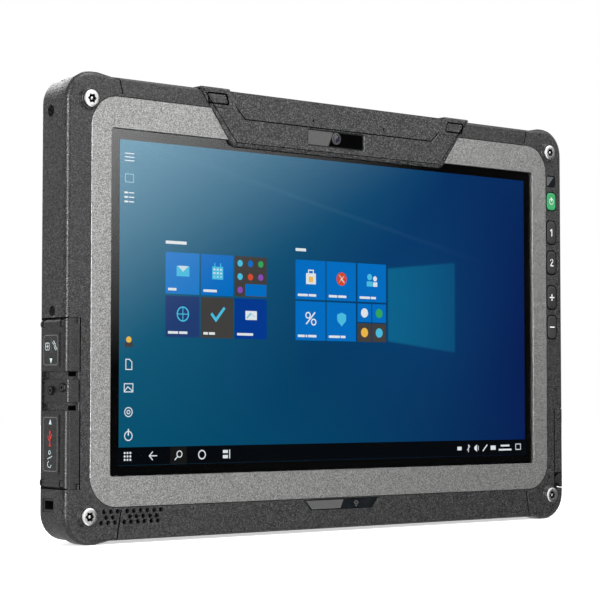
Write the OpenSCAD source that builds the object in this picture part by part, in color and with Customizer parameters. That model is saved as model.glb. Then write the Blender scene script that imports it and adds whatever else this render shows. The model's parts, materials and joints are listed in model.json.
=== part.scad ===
// A rugged landscape tablet for field data collection: a metal mid frame between a
// front bezel with the screen and a rear cover with two battery packs, inside two
// C-shaped end caps and two rails. It stands upright on its lower corners, the screen
// faces -Y, and the origin is under the middle of its base.

/* [Tablet] */
// Width over the barrels of the side doors
tablet_w = 314; // [300:1:380]
// Height over the corner bumpers
tablet_h = 207; // [204:1:250]
// Thickness from the corner screws' heads to the back
tablet_t = 24.5; // [24:0.1:30]

/* [Screen] */
// Width of the lit area
screen_w = 256.3; // [210:0.1:262]
// Height of the lit area
screen_h = 144.2; // [118:0.1:146]
// Height of the lit area's lower edge above the base
screen_bottom = 34.1; // [32:0.1:40]
// Black border of the glass around the lit area, to left and right
border_w = 5.3; // [4:0.1:7]
// Black border of the glass above and below the lit area
border_h = 4.7; // [4:0.1:6]
// Depth of the glass behind the bezel's face
glass_recess = 1; // [0.5:0.1:1.4]
// Thickness of the touch glass
glass_t = 0.7; // [0.5:0.1:1.1]
// Thickness of the display panel
lcd_t = 3; // [2.4:0.1:3.2]

/* [Casing] */
// Width of each end cap's front face
cap_face_w = 12.5; // [11:0.1:14]
// Thickness of the end caps' side walls
cap_wall = 5; // [4.6:0.1:5.5]
// Thickness of the rails' walls
rail_wall = 3; // [2:0.1:3.5]
// Thickness of the front faces of caps, rails and bezel
face_t = 2; // [1.8:0.1:2.4]
// Height of the bottom rail's front face, up to the bezel
bottom_face_h = 16; // [15:0.1:18]
// Height of the top rail's front face, down to the bezel
top_face_h = 9.9; // [9:0.1:11]
// Radius of the front corners
corner_r = 13.5; // [10:0.5:16]
// Radius of the bezel's outer corners
bezel_r = 14; // [12:0.5:20]
// Height that the corners stand beyond the rails
corner_swell = 1.5; // [1:0.1:2]
// Corner radius behind the bumpers
rear_r = 12.5; // [12.3:0.1:13.5]
// Depth of the bumpers from the front face
bumper_depth = 9.4; // [7:0.1:11]
// Thickness of the rear cover
cover_t = 1.95; // [1.8:0.05:2.4]
// Thickness of the mid frame's plate
frame_t = 1.5; // [1.2:0.1:2]

/* [Camera bar] */
// Width of the bar's lower edge
bar_low_w = 133; // [120:1:150]
// Width of the bar at the bezel's upper edge
bar_mid_w = 158; // [150:1:170]
// Width of the bar at the top
bar_top_w = 171; // [168:1:180]
// Height of the bar below the tablet's top
bar_h = 26.9; // [25:0.1:29]
// Height that the bar stands in front of the bezel
bar_stand = 1; // [0.6:0.1:1.5]

/* [Keys] */
// Width of the five front keys
key_w = 6.7; // [5:0.1:6.8]
// Travel of a key
key_travel = 0.5; // [0.3:0.05:0.5]
// Height of the power key
power_h = 9.2; // [7:0.1:12]
// Height of each of the other keys
key_h = 12.1; // [9:0.1:13.5]

/* [Doors] */
// Radius of the door barrels
barrel_r = 2.4; // [2:0.05:2.5]
// Radius of the hinge pins
pin_r = 0.8; // [0.6:0.05:1.1]
// Thickness of the doors
door_t = 2; // [1.6:0.1:2.2]
// Length of the upper port door
upper_door_l = 20.5; // [18:0.5:22]
// Length of the lower port door
lower_door_l = 31.2; // [28:0.1:32]
// Length of the media door
media_door_l = 39; // [34:0.5:46]

/* [Batteries] */
// Width of a battery pack
battery_w = 112; // [90:1:114]
// Height of a battery pack
battery_h = 80; // [60:1:84]
// Thickness of a battery pack
battery_t = 8.6; // [7:0.1:8.8]

/* [Fasteners] */
// Diameter of the corner screws' heads
corner_head_d = 7.8; // [6:0.1:8.4]
// Radius of the corner screws' shanks
corner_shank_r = 1.5; // [1.2:0.1:1.8]
// Radius of the rear screws' shanks
rear_shank_r = 1.2; // [1:0.1:1.5]
// Radius of the threaded holes for the hand strap
strap_hole_r = 1.65; // [1.25:0.05:2]

/* [Hidden] */
eps = 0.5;             // overshoot of a cut past a face
gap = 0.2;             // clearance between fitted pieces
slide_gap = 0.15;      // clearance around a sliding key
round_fn = 48;

// Depths, from the front to the back
screw_stand = 2.25;
front_y = -tablet_t / 2;
back_y = tablet_t / 2;
face_y = front_y + screw_stand;
flange_y = face_y + face_t;
glass_y = face_y + glass_recess;
lcd_y = glass_y + glass_t;
frame_y = lcd_y + lcd_t;
frame_back_y = frame_y + frame_t;
standoff_h = 1.5;
board_t = 1.2;
board_y = frame_back_y + standoff_h;
board_back_y = board_y + board_t;
wall_back_y = back_y - cover_t;
bumper_y = face_y + bumper_depth;

// Widths and heights
barrel_stand = 0.5;
side_x = tablet_w / 2 - barrel_stand;
inner_x = side_x - cap_wall;
rail_low_z = corner_swell;
rail_top_z = tablet_h - corner_swell;
inner_low_z = rail_low_z + rail_wall;
inner_top_z = rail_top_z - rail_wall;
bezel_x = side_x - cap_face_w;
bezel_low_z = bottom_face_h;
bezel_top_z = tablet_h - top_face_h;
glass_x = screen_w / 2 + border_w;
glass_low_z = screen_bottom - border_h;
glass_top_z = screen_bottom + screen_h + border_h;
swell_flat = 3;                // flat at the foot of each corner
swell_run = [corner_r + swell_flat, corner_r + swell_flat + 7];    // where the swell fades, from the side
seam_out_x = side_x - 26.5;
seam_in_x = side_x - 29;
wall_slope = sqrt(2);
inner_chamfer = rear_r - cap_wall - rail_wall + rail_wall * wall_slope;

// Fasteners
corner_screw_x = side_x - 11.3;
corner_screw_z = [12.6, tablet_h - 12.6];
corner_boss_r = 4.8;
corner_boss_y = front_y + 0.75;
post_r = 3.2;
rear_head_r = 2.4;
rear_head_t = 0.9;
post_places = [for (s = [-1, 1]) each [
    [s * (side_x - 22.5), 12], [s * (side_x - 22.5), tablet_h - 12],
    [s * (side_x - 16.5), 110]],
    [0, 12], [0, tablet_h - 12]];
strap_x = side_x - 32.5;
strap_z = [14, tablet_h - 14];
strap_boss_r = 4.5;
insert_r = 3;
insert_l = 5.8;

// Camera bar
bar_low_z = tablet_h - bar_h;
bar_y = face_y - bar_stand;
bar_seat_y = glass_y - 0.05;
shoulder_w = 17;
shoulder_rise = 1;
window_x = [-21.8, 14];
window_z = [tablet_h - 22.5, tablet_h - 14.6];
window_recess = 0.8;
lens_x = -3.3;
lens_z = tablet_h - 18;
mic_x = [-18, 27.2];
mic_z = tablet_h - 10.6;
field_recess = 0.4;
field_low_w = 119;
field_mid_w = 128;
field_top_w = 139.5;
field_z = [tablet_h - 14, tablet_h - 9.8];
mic_r = 0.6;
plug_x = 75.5;
plug_z = tablet_h - 5.6;

// Keys down the right end cap
key_x = side_x - 8.7;
key_proud = 0.35;
key_ear = 0.8;
ear_t = 0.85;
key_z = [for (below_top = [38.5, 55.15, 71.2, 89.8, 105.6]) tablet_h - below_top];
key_heights = [power_h, key_h, key_h, key_h, key_h];
sensor_z = [tablet_h - 30.8, tablet_h - 24.5];
sensor_w = 7;
switch_y = flange_y + ear_t + 0.05 + key_travel + 0.05;

// Doors: every hinge axis runs along Y
axis_x = side_x + barrel_stand - barrel_r;
door_back_gap = 0.3;
door_back_y = wall_back_y - door_back_gap;
door_in_x = side_x - door_t;
pocket_x = door_in_x - 0.1;
lip_t = face_t - gap;
lip_w = 7;
lip_gap = 0.5;
pin_fit = 0.05;
upper_hinge_z = 96;
lower_hinge_z = 27;
media_hinge_z = 18.9;
media_lip_l = 5;
lug_r = barrel_r - 0.3;
lug_y = [flange_y + 0.2, wall_back_y - 3.8];
lug_t = 2;
lug_gap = 0.25;
pocket_r = barrel_r + 0.25;
pocket_over = 2.75;
port_y = [-3, 7.6];
seal_t = 1.4;
seal_gap = 0.4;
pad_y = [-5.2, 8.4];
pad_t = 0.4;
sill_t = 1.6;
sill_over = 0.7;
block_z = [62.1, 71.7];
block_t = 0.9;
block_screws = [[3.2, 67.1], [-5.9, 68.3]];

// Side holes
hole_y = 1.4;
hole_z = 101.6;
hole_r = 2.4;
hole_depth = 4;
tether_y = 3.4;
tether_z = tablet_h - 17.5;
tether_r = 2.6;
tether_depth = 8;
tether_top_r = 1.5;
tether_top_x = side_x - 6.5;
lock_y = 3.4;
lock_z = 17.4;
lock_size = [7, 3.7];
lock_plate = [9.4, 6];

// Speaker holes, in three rows
speaker_r = 1.05;
speaker_pitch = 3.6;
speaker_rows = [
    [14.3, [-136.5, 3], [-124.3, 6]],
    [11.8, [-135.4, 2], [-122.9, 5]],
    [9.5, [-137.9, 3], [-125.8, 6]]];
speaker_shift = side_x - 156.5;
speaker_x = [-side_x + 17.8, -side_x + 50.5];
status_low_w = 38.8;
status_high_w = 47;
status_z = [10.6, bezel_low_z + 0.3 - 0.8];
dock_x = 22;
dock_y = [2, 8];

// Batteries and their latches
battery_mid_x = battery_w / 2 + 6;
battery_low_z = 24;
battery_top_z = battery_low_z + battery_h;
battery_back_y = back_y - 0.15;
battery_y = battery_back_y - battery_t;
bay_gap = 0.4;
bay_wall = 1.4;
bay_floor_y = battery_y - gap;
latch_w = 24;
latch_l = 6;
latch_t = 1.2;
tongue_l = 3.2;
tongue_t = 2.2;
tongue_w = 10;
latch_travel = 6;
battery_travel = 12;
latch_ratio = latch_travel / battery_travel;
latch_z = battery_top_z + 1.5;
latch_y = [battery_back_y - latch_t, battery_back_y];
tongue_z = latch_z - 1.4 - tongue_l + 0.1;
tongue_y = latch_y[0] - tongue_t;

// ---- Building blocks ----

// An outline in X and Z, made a slab from y0 back to y1
module slab(y0, y1)
    translate([0, y1, 0]) rotate([90, 0, 0]) linear_extrude(y1 - y0) children();

module box(x, y, z)
    translate([x[0], y[0], z[0]]) cube([x[1] - x[0], y[1] - y[0], z[1] - z[0]]);

module rod_y(x, z, r, y0, y1)
    translate([x, y0, z]) rotate([-90, 0, 0]) cylinder(r = r, h = y1 - y0, $fn = round_fn);

module rod_x(y, z, r, x0, x1)
    translate([x0, y, z]) rotate([0, 90, 0]) cylinder(r = r, h = x1 - x0, $fn = round_fn);

module rod_z(x, y, r, z0, z1)
    translate([x, y, z0]) cylinder(r = r, h = z1 - z0, $fn = round_fn);

module round_rect(x, z, r) {
    translate([x[0] + r, z[0]]) square([x[1] - x[0] - 2 * r, z[1] - z[0]]);
    translate([x[0], z[0] + r]) square([x[1] - x[0], z[1] - z[0] - 2 * r]);
    for (cx = [x[0] + r, x[1] - r], cz = [z[0] + r, z[1] - r])
        translate([cx, cz]) circle(r = r, $fn = round_fn);
}

module mirror_pair() {
    children();
    mirror([1, 0, 0]) children();
}

// ---- Outlines ----

// The front zone: round corners that swell a little beyond the rails
module bumper_outline() difference() {
    round_rect([-side_x, side_x], [0, tablet_h], corner_r);
    for (m = [0, 1])
        translate([0, m * tablet_h]) mirror([0, m]) polygon([
            [-side_x + swell_run[0], -eps], [-side_x + swell_run[0], 0],
            [-side_x + swell_run[1], rail_low_z], [side_x - swell_run[1], rail_low_z],
            [side_x - swell_run[0], 0], [side_x - swell_run[0], -eps]]);
}

module chamfered_rect(x, z, c)
    polygon([
        [x[0] + c, z[0]], [x[1] - c, z[0]], [x[1], z[0] + c], [x[1], z[1] - c],
        [x[1] - c, z[1]], [x[0] + c, z[1]], [x[0], z[1] - c], [x[0], z[0] + c]]);

module rear_outline()
    round_rect([-side_x, side_x], [rail_low_z, rail_top_z], rear_r);

module inner_outline(inset = 0)
    chamfered_rect([-inner_x + inset, inner_x - inset],
        [inner_low_z + inset, inner_top_z - inset], inner_chamfer);

module bezel_outline(extra = 0)
    round_rect([-bezel_x - extra, bezel_x + extra],
        [bezel_low_z - extra, bezel_top_z + extra], bezel_r + extra);

// All that lies to the left of the two slanted seams
module left_region() polygon([
    [-2 * side_x, -eps], [-seam_out_x, -eps], [-seam_out_x, 0], [-seam_in_x, bezel_low_z],
    [-seam_in_x, bezel_top_z], [-seam_out_x, tablet_h], [-seam_out_x, tablet_h + eps],
    [-2 * side_x, tablet_h + eps]]);

module both_regions() mirror_pair() left_region();

module bar_outline(extra = 0) {
    knee_z = bezel_top_z;
    polygon([
        [-bar_low_w / 2 - extra, bar_low_z - extra], [bar_low_w / 2 + extra, bar_low_z - extra],
        [bar_mid_w / 2 + extra, knee_z], [bar_top_w / 2 + extra, rail_top_z],
        [-bar_top_w / 2 - extra, rail_top_z], [-bar_mid_w / 2 - extra, knee_z]]);
}

// The shell that caps and rails are cut from: outer walls and front faces
module casing_shell() {
    slab(face_y, flange_y) difference() { bumper_outline(); bezel_outline(gap / 2); }
    slab(flange_y, bumper_y) difference() { bumper_outline(); inner_outline(); }
    slab(bumper_y, wall_back_y) difference() { rear_outline(); inner_outline(); }
}

// ---- Doors, drawn at the left side with the hinge at the top and the axis at the origin ----

door_out = side_x - axis_x;          // from the axis out to the side face
door_in = door_out - door_t;         // from the axis to the door's inner face

module lug_slots(r, extra)
    for (y = lug_y) rod_y(0, 0, r, y - extra, y + lug_t + extra);

module door(length, lip_l) difference() {
    union() {
        slab(face_y, door_back_y) {
            translate([-door_out, -length]) square([door_t, length]);
            circle(r = barrel_r, $fn = round_fn);
        }
        // a short lip is rounded about the axis, so that it turns inside its pocket
        slab(face_y, face_y + lip_t) intersection() {
            translate([-door_out, -lip_l]) square([lip_w, lip_l]);
            circle(r = lip_l < length ? lip_w - door_out + 0.3 : 2 * length, $fn = round_fn);
        }
        box([-door_out - pad_t, -door_out + eps], pad_y, [-length + 1.5, -barrel_r - 1.4]);
    }
    lug_slots(barrel_r + 0.05, lug_gap);
    rod_y(0, 0, pin_r + pin_fit, face_y + 1, door_back_y + eps);
    // grip notch in the inner edge of the free end
    box([-door_in - 0.6, -door_in + 1], [pad_y[0] + 2, pad_y[1] - 2], [-length - eps, -length + 0.8]);
}

module door_pocket(length, lip_l) {
    far = length + lip_gap;
    slab(face_y - eps, wall_back_y + eps) {
        translate([-door_out - 2 * eps, -far]) square([2 * eps + door_t + 0.1, far]);
        translate([-door_out - 2 * eps, 0]) square([2 * eps + door_out, pocket_over]);
        circle(r = pocket_r, $fn = round_fn);
    }
    slab(face_y - eps, flange_y)
        translate([-door_out - 2 * eps, -lip_l - lip_gap])
            square([2 * eps + lip_w + lip_gap, lip_l + lip_gap + pocket_over]);
}

module door_lugs() difference() {
    union() {
        lug_slots(lug_r, 0);
        for (y = lug_y) box([0, door_out - door_in + 1.4], [y, y + lug_t], [-lug_r + 0.3, lug_r - 0.3]);
    }
    rod_y(0, 0, pin_r + 0.01, flange_y, wall_back_y);
}

// The port window behind a door, from the hinge's end to the free end
module port_window(length, inset)
    box([-door_in, cap_wall + 1],
        [port_y[0] + inset, port_y[1] - inset], [-length + 3 + inset, -barrel_r - 2 - inset]);

module door_seal(length) intersection() {
    box([-door_in, -door_in + seal_t], [face_y, back_y], [-length, 0]);
    difference() {
        port_window(length, seal_gap);
        port_window(length, seal_gap + 1.2);
    }
}

module door_pin()
    rod_y(0, 0, pin_r, face_y + 1.2, door_back_y - 0.6);

module at_upper() translate([-axis_x, 0, upper_hinge_z]) children();
module at_lower() translate([-axis_x, 0, lower_hinge_z]) mirror([0, 0, 1]) children();
module at_media()
    mirror([1, 0, 0]) translate([-axis_x, 0, media_hinge_z]) mirror([0, 0, 1]) children();

// ---- Casing ----

module corner_bosses() for (z = corner_screw_z) {
    rod_y(-corner_screw_x, z, corner_boss_r, corner_boss_y, face_y);
    rod_y(-corner_screw_x, z, corner_boss_r, face_y, frame_y);
}

module corner_bores() for (z = corner_screw_z) {
    rod_y(-corner_screw_x, z, corner_shank_r + 0.05, corner_boss_y - eps, frame_y + eps);
    rod_y(-corner_screw_x, z, corner_head_d / 2 + 0.1, corner_boss_y - eps, corner_boss_y + 0.25);
}

module cap_blank() difference() {
    union() {
        intersection() {
            casing_shell();
            slab(front_y - eps, back_y + eps) left_region();
        }
        corner_bosses();
    }
    corner_bores();
}

module left_end_cap() color("#2b2c2e") difference() {
    union() {
        difference() {
            cap_blank();
            at_upper() door_pocket(upper_door_l, upper_door_l);
            at_lower() door_pocket(lower_door_l, lower_door_l);
            box([-side_x - eps, -pocket_x], [face_y - eps, wall_back_y + eps],
                [lower_hinge_z, upper_hinge_z]);
            box([-side_x - eps, -side_x + lip_w + lip_gap], [face_y - eps, flange_y],
                [lower_hinge_z, upper_hinge_z]);
        }
        at_upper() door_lugs();
        at_lower() door_lugs();
        box([-inner_x - eps, -side_x + lip_w + lip_gap + 1.2], [flange_y, flange_y + sill_t],
            [lower_hinge_z - pocket_over - sill_over, upper_hinge_z + pocket_over + sill_over]);
        // block that the tether hole is bored in
        intersection() {
            slab(bumper_y, wall_back_y) rear_outline();
            box([-side_x, -side_x + 13], [bumper_y, wall_back_y], [tether_z - 6, tablet_h]);
        }
    }
    at_upper() port_window(upper_door_l, 0);
    at_lower() port_window(lower_door_l, 0);
    rod_x(hole_y, hole_z, hole_r, -side_x - eps, -side_x + hole_depth);
    rod_x(tether_y, tether_z, tether_r, -side_x - eps, -side_x + tether_depth);
    rod_z(-tether_top_x, tether_y, tether_top_r, tether_z, tablet_h);
    box([-side_x - eps, -inner_x + eps], [lock_y - lock_plate[0] / 2, lock_y + lock_plate[0] / 2],
        [lock_z - lock_plate[1] / 2, lock_z + lock_plate[1] / 2]);
    for (s = block_screws) rod_x(s[0], s[1], 0.8, -side_x, -inner_x + eps);
    speaker_holes();
}

module right_end_cap() color("#2b2c2e") difference() {
    union() {
        difference() {
            mirror([1, 0, 0]) cap_blank();
            at_media() door_pocket(media_door_l, media_lip_l);
        }
        at_media() door_lugs();
        box([side_x - lip_w - lip_gap - 1.2, inner_x + eps], [flange_y, flange_y + sill_t],
            [media_hinge_z - pocket_over - sill_over, media_hinge_z + media_lip_l + 1.5]);
    }
    at_media() port_window(media_door_l, 0);
    for (i = [0:len(key_z) - 1]) slab(face_y - eps, flange_y + eps) key_outline(i, slide_gap);
    slab(face_y - eps, flange_y + eps) sensor_outline(0.05);
}

module rail_blank(low, high) intersection() {
    difference() {
        casing_shell();
        slab(front_y - eps, back_y + eps) both_regions();
    }
    box([-side_x, side_x], [front_y - eps, back_y + eps], [low, high]);
}

module top_rail() color("#2b2c2e") difference() {
    rail_blank(tablet_h / 2, tablet_h);
    slab(face_y - eps, bar_seat_y) bar_outline(gap / 2);
}

module bottom_rail() color("#2b2c2e") difference() {
    rail_blank(0, tablet_h / 2);
    speaker_holes();
    slab(face_y - eps, flange_y + eps) status_outline(0.1);
    box([-dock_x, dock_x], dock_y, [0, inner_low_z + eps]);
}

module speaker_holes()
    for (row = speaker_rows, run = [row[1], row[2]], i = [0:run[1] - 1])
        rod_y(run[0] - speaker_shift + i * speaker_pitch, row[0], speaker_r,
            face_y - eps, flange_y + eps);

module front_bezel() color("#a9abac") difference() {
    slab(face_y, flange_y) difference() {
        bezel_outline();
        round_rect([-glass_x, glass_x], [glass_low_z, glass_top_z], 1.5);
        for (s = [-1, 1], z = corner_screw_z)
            translate([s * corner_screw_x, z]) circle(r = corner_boss_r + gap / 2, $fn = round_fn);
    }
    slab(face_y - eps, bar_seat_y) bar_outline(gap / 2);
    box(window_x, [face_y, flange_y + eps], window_z);
    for (x = mic_x) rod_y(x, mic_z, mic_r, face_y, flange_y + eps);
}

module camera_bar() color("#333436") difference() {
    union() {
        slab(bar_y, bar_seat_y) bar_outline();
        // shoulder blocks, which wrap a little over the top rail
        for (s = [-1, 1])
            box([s > 0 ? bar_top_w / 2 - shoulder_w : -bar_top_w / 2,
                 s > 0 ? bar_top_w / 2 : -bar_top_w / 2 + shoulder_w],
                [bar_y, bumper_y], [rail_top_z, rail_top_z + shoulder_rise]);
    }
    box(window_x, [bar_y - eps, bar_seat_y + eps], window_z);
    for (x = mic_x) rod_y(x, mic_z, mic_r, bar_y - eps, bar_seat_y + eps);
    for (s = [-1, 1]) slab(bar_y - eps, bar_y + 1.2) plug_outline(s, 0.05);
    // the upper field lies a little deeper than the rest of the bar
    slab(bar_y - eps, bar_y + field_recess) polygon([
        [-field_low_w / 2, field_z[0]], [field_low_w / 2, field_z[0]],
        [field_mid_w / 2, field_z[1]], [field_top_w / 2, tablet_h + eps],
        [-field_top_w / 2, tablet_h + eps], [-field_mid_w / 2, field_z[1]]]);
}

module plug_outline(side, extra)
    polygon([for (p = [[-6, -2.1], [4.6, -2.1], [6, 2.1], [-4.6, 2.1]])
        [side * (plug_x + p[0] + extra * sign(p[0])), plug_z + p[1] + extra * sign(p[1])]]);

module bar_plugs() color("#232426")
    for (s = [-1, 1]) slab(bar_y + 0.15, bar_y + 1.2) plug_outline(s, 0);

module camera_window() color("#0c0d0f")
    slab(bar_y + window_recess, bar_seat_y)
        round_rect([window_x[0] + 0.05, window_x[1] - 0.05], [window_z[0] + 0.05, window_z[1] - 0.05], 1);

module front_camera() color("#111214") {
    box([lens_x - 4, lens_x + 4], [flange_y + 0.8, frame_y], [lens_z - 4, lens_z + 4]);
    rod_y(lens_x, lens_z, 2.6, bar_seat_y, flange_y + 0.8);
}

module camera_board() color("#1d4a35") difference() {
    box([-34, 34], [flange_y, flange_y + 0.8], [window_z[0] - 1, inner_top_z - 1]);
    rod_y(lens_x, lens_z, 2.7, flange_y - eps, flange_y + 1 + eps);
}

module touch_glass() color("#0a0b0d")
    slab(glass_y, lcd_y) round_rect([-glass_x + 0.1, glass_x - 0.1],
        [glass_low_z + 0.1, glass_top_z - 0.1], 1.4);

lcd_margin = 2.2;

module lcd_outline(extra = 0) translate([-screen_w / 2 - lcd_margin - extra,
    screen_bottom - lcd_margin - extra])
    square([screen_w + 2 * (lcd_margin + extra), screen_h + 2 * (lcd_margin + extra)]);

module lcd_panel() color("#17344a") slab(lcd_y, frame_y) lcd_outline();

module display_gasket() color("#141414") slab(lcd_y, frame_y) difference() {
    round_rect([-glass_x + 0.3, glass_x - 0.3], [glass_low_z + 0.3, glass_top_z - 0.3], 1.2);
    lcd_outline(gap);
}

module display_cable() color("#b5712b") {
    box([-19, 19], [frame_y - 0.4, frame_y], [glass_low_z - 4, glass_low_z]);
    box([-19, 19], [frame_y - 0.4, board_y], [glass_low_z - 4.3, glass_low_z - 4]);
}

module mid_frame() color("#8b8e90") difference() {
    union() {
        slab(frame_y, frame_back_y) inner_outline(gap);
        mirror_pair() for (z = corner_screw_z)
            rod_y(-corner_screw_x, z, 4, frame_back_y - eps, frame_back_y + 1.5);
        for (p = post_places) rod_y(p[0], p[1], post_r, frame_back_y - eps, wall_back_y);
        for (x = [-115, 0, 115], z = [30, 110, 176])
            rod_y(x, z, 2, frame_back_y - eps, board_y);
        // ribs around the screen's shelf
        for (x = [-1, 1]) box([x * (glass_x + 2) - 0.6, x * (glass_x + 2) + 0.6],
            [frame_y - 2, frame_y + eps], [glass_low_z, glass_top_z]);
    }
    mirror_pair() for (z = corner_screw_z)
        rod_y(-corner_screw_x, z, corner_shank_r + 0.05, frame_y - eps, frame_back_y + 2);
    for (p = post_places) rod_y(p[0], p[1], rear_shank_r + 0.05, wall_back_y - 9, wall_back_y + eps);
    box([-20, 20], [frame_y - eps, frame_back_y + eps], [glass_low_z - 4.8, glass_low_z - 3.5]);
}

// ---- Rear cover, batteries and latches ----

module bay(side, extra, y0) {
    mid = side * battery_mid_x;
    box([mid - battery_w / 2 - extra, mid + battery_w / 2 + extra], [y0, back_y + eps],
        [battery_low_z - extra, battery_top_z + extra]);
}

module latch_pocket(side) {
    mid = side * battery_mid_x;
    box([mid - latch_w / 2 - gap, mid + latch_w / 2 + gap], [latch_y[0] - gap, back_y + eps],
        [latch_z - gap, latch_z + latch_l + latch_travel + gap]);
    box([mid - tongue_w / 2 - gap, mid + tongue_w / 2 + gap], [tongue_y - gap, back_y + eps],
        [battery_top_z, latch_z + 4 + latch_travel + gap]);
}

module rear_cover() color("#303133") difference() {
    union() {
        intersection() {
            slab(wall_back_y, back_y) rear_outline();
            translate([0, 0, -eps]) linear_extrude(tablet_h + 2 * eps) polygon([
                [-side_x, wall_back_y], [side_x, wall_back_y],
                [side_x - cover_t, back_y], [-side_x + cover_t, back_y]]);
            translate([-side_x, 0, 0]) rotate([90, 0, 90]) linear_extrude(2 * side_x) polygon([
                [wall_back_y, rail_low_z], [wall_back_y, rail_top_z],
                [back_y, rail_top_z - cover_t], [back_y, rail_low_z + cover_t]]);
        }
        for (s = [-1, 1]) intersection() {
            bay(s, bay_gap + bay_wall, bay_floor_y - bay_wall + 0.2);
            box([-side_x, side_x], [0, wall_back_y + eps], [0, tablet_h]);
        }
        for (s = [-1, 1])
            box([s * battery_mid_x - latch_w / 2 - 2, s * battery_mid_x + latch_w / 2 + 2],
                [tongue_y - 1.4, wall_back_y + 0.2],
                [battery_top_z, latch_z + latch_l + latch_travel + 2]);
        mirror_pair() for (z = strap_z)
            rod_y(-strap_x, z, strap_boss_r, wall_back_y - 5, wall_back_y + 0.2);
    }
    for (s = [-1, 1]) {
        bay(s, bay_gap, bay_floor_y);
        latch_pocket(s);
    }
    for (p = post_places) {
        rod_y(p[0], p[1], rear_shank_r + 0.1, wall_back_y - eps, back_y + eps);
        rod_y(p[0], p[1], rear_head_r + 0.15, back_y - rear_head_t - 0.1, back_y + eps);
    }
    mirror_pair() for (z = strap_z)
        rod_y(-strap_x, z, insert_r, back_y - 0.2 - insert_l, back_y + eps);
    rod_y(-70, tablet_h - 31, 4.6, wall_back_y - eps, back_y + eps);
    rod_y(-58, tablet_h - 31, 2.1, wall_back_y - eps, back_y + eps);
    // shallow ribs of the grip field between the upper screws
    for (i = [0:7]) box([22, 118], [back_y - 0.5, back_y + eps],
        [tablet_h - 66 + i * 5, tablet_h - 64 + i * 5]);
}

module battery(side) {
    mid = side * battery_mid_x;
    color("#2f3032") difference() {
        box([mid - battery_w / 2, mid + battery_w / 2], [battery_y, battery_back_y],
            [battery_low_z, battery_top_z]);
        // ramped catch: the latch's tongue runs up it as the pack is drawn out
        slope_run = (tongue_y - battery_y) * latch_ratio;
        translate([mid - tongue_w / 2 - 0.4, 0, 0]) rotate([90, 0, 90])
            linear_extrude(tongue_w + 0.8) polygon([
                [battery_back_y + eps, tongue_z - 0.3], [tongue_y - 0.1, tongue_z - 0.3],
                [battery_y - eps, tongue_z - 0.3 + slope_run + eps * latch_ratio],
                [battery_y - eps, battery_top_z + 5], [battery_back_y + eps, battery_top_z + 5]]);
        // finger recess and label field
        box([mid - 14, mid + 14], [battery_back_y - 2.4, battery_back_y + eps],
            [battery_low_z - eps, battery_low_z + 7]);
        box([mid - 45, mid + 45], [battery_back_y - 0.3, battery_back_y + eps],
            [battery_low_z + 14, battery_low_z + 54]);
    }
}

module battery_left() battery(-1);
module battery_right() battery(1);

module latch(side) {
    mid = side * battery_mid_x;
    color("#c4572b") difference() {
        union() {
            box([mid - latch_w / 2, mid + latch_w / 2], latch_y, [latch_z, latch_z + latch_l]);
            box([mid - tongue_w / 2, mid + tongue_w / 2], [tongue_y, latch_y[0] + 0.1],
                [tongue_z, latch_z + 4]);
        }
        for (i = [0:3]) box([mid - 8, mid + 8], [latch_y[1] - 0.4, latch_y[1] + eps],
            [latch_z + 1 + i * 1.2, latch_z + 1.6 + i * 1.2]);
    }
}

module latch_left() latch(-1);
module latch_right() latch(1);

// ---- Fasteners ----

module star_recess(r, depth, y)
    for (a = [0, 60, 120]) translate([0, y, 0]) rotate([0, a, 0])
        translate([-r, -eps, -r * 0.27]) cube([2 * r, depth + eps, 2 * r * 0.27]);

module corner_screws() color("#c9cbcc") mirror_pair() for (z = corner_screw_z)
    translate([-corner_screw_x, 0, z]) difference() {
        union() {
            rod_y(0, 0, corner_head_d / 2, front_y, corner_boss_y + 0.2);
            rod_y(0, 0, corner_shank_r, corner_boss_y, frame_back_y + 1.2);
        }
        star_recess(2.3, 0.7, front_y);
    }

module rear_screws() color("#4a4c4f") for (p = post_places)
    translate([p[0], 0, p[1]]) difference() {
        union() {
            rod_y(0, 0, rear_head_r, back_y - rear_head_t - 0.1, back_y - 0.1);
            rod_y(0, 0, rear_shank_r, wall_back_y - 8.5, back_y - rear_head_t);
        }
        translate([0, back_y - 0.1, 0]) rotate([0, 0, 180]) star_recess(1.3, 0.6, 0);
    }

module strap_inserts() color("#b98f45") mirror_pair() for (z = strap_z)
    difference() {
        rod_y(-strap_x, z, insert_r - 0.01, back_y - 0.2 - insert_l, back_y - 0.2);
        rod_y(-strap_x, z, strap_hole_r, back_y - insert_l, back_y + eps);
    }

// ---- Keys, sensor and status lights ----

module key_outline(i, extra)
    round_rect([key_x - key_w / 2 - extra, key_x + key_w / 2 + extra],
        [key_z[i] - key_heights[i] / 2 - extra, key_z[i] + key_heights[i] / 2 + extra], 2.2);

module key(i) {
    slab(face_y - key_proud, flange_y + 0.1) key_outline(i, 0);
    slab(flange_y + 0.05, flange_y + 0.05 + ear_t)
        translate([key_x - key_w / 2, key_z[i] - key_heights[i] / 2 - key_ear])
            square([key_w, key_heights[i] + 2 * key_ear]);
}

module power_button() color("#3d9b46") key(0);
module function_key_1() color("#3a3b3d") key(1);
module function_key_2() color("#3a3b3d") key(2);
module plus_key() color("#3a3b3d") key(3);
module minus_key() color("#3a3b3d") key(4);

module key_board() color("#1d4a35") {
    box([key_x - 3.2, key_x + 3.2], [frame_y - 1, frame_y], [key_z[4] - 9, sensor_z[1]]);
    for (z = key_z) rod_y(key_x, z, 1.6, switch_y, frame_y - 0.9);
}

module sensor_outline(extra)
    round_rect([key_x - sensor_w / 2 - extra, key_x + sensor_w / 2 + extra],
        [sensor_z[0] - extra, sensor_z[1] + extra], 1.6);

module light_sensor_window() color("#15171a")
    slab(face_y + 0.1, flange_y) sensor_outline(0);

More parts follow.
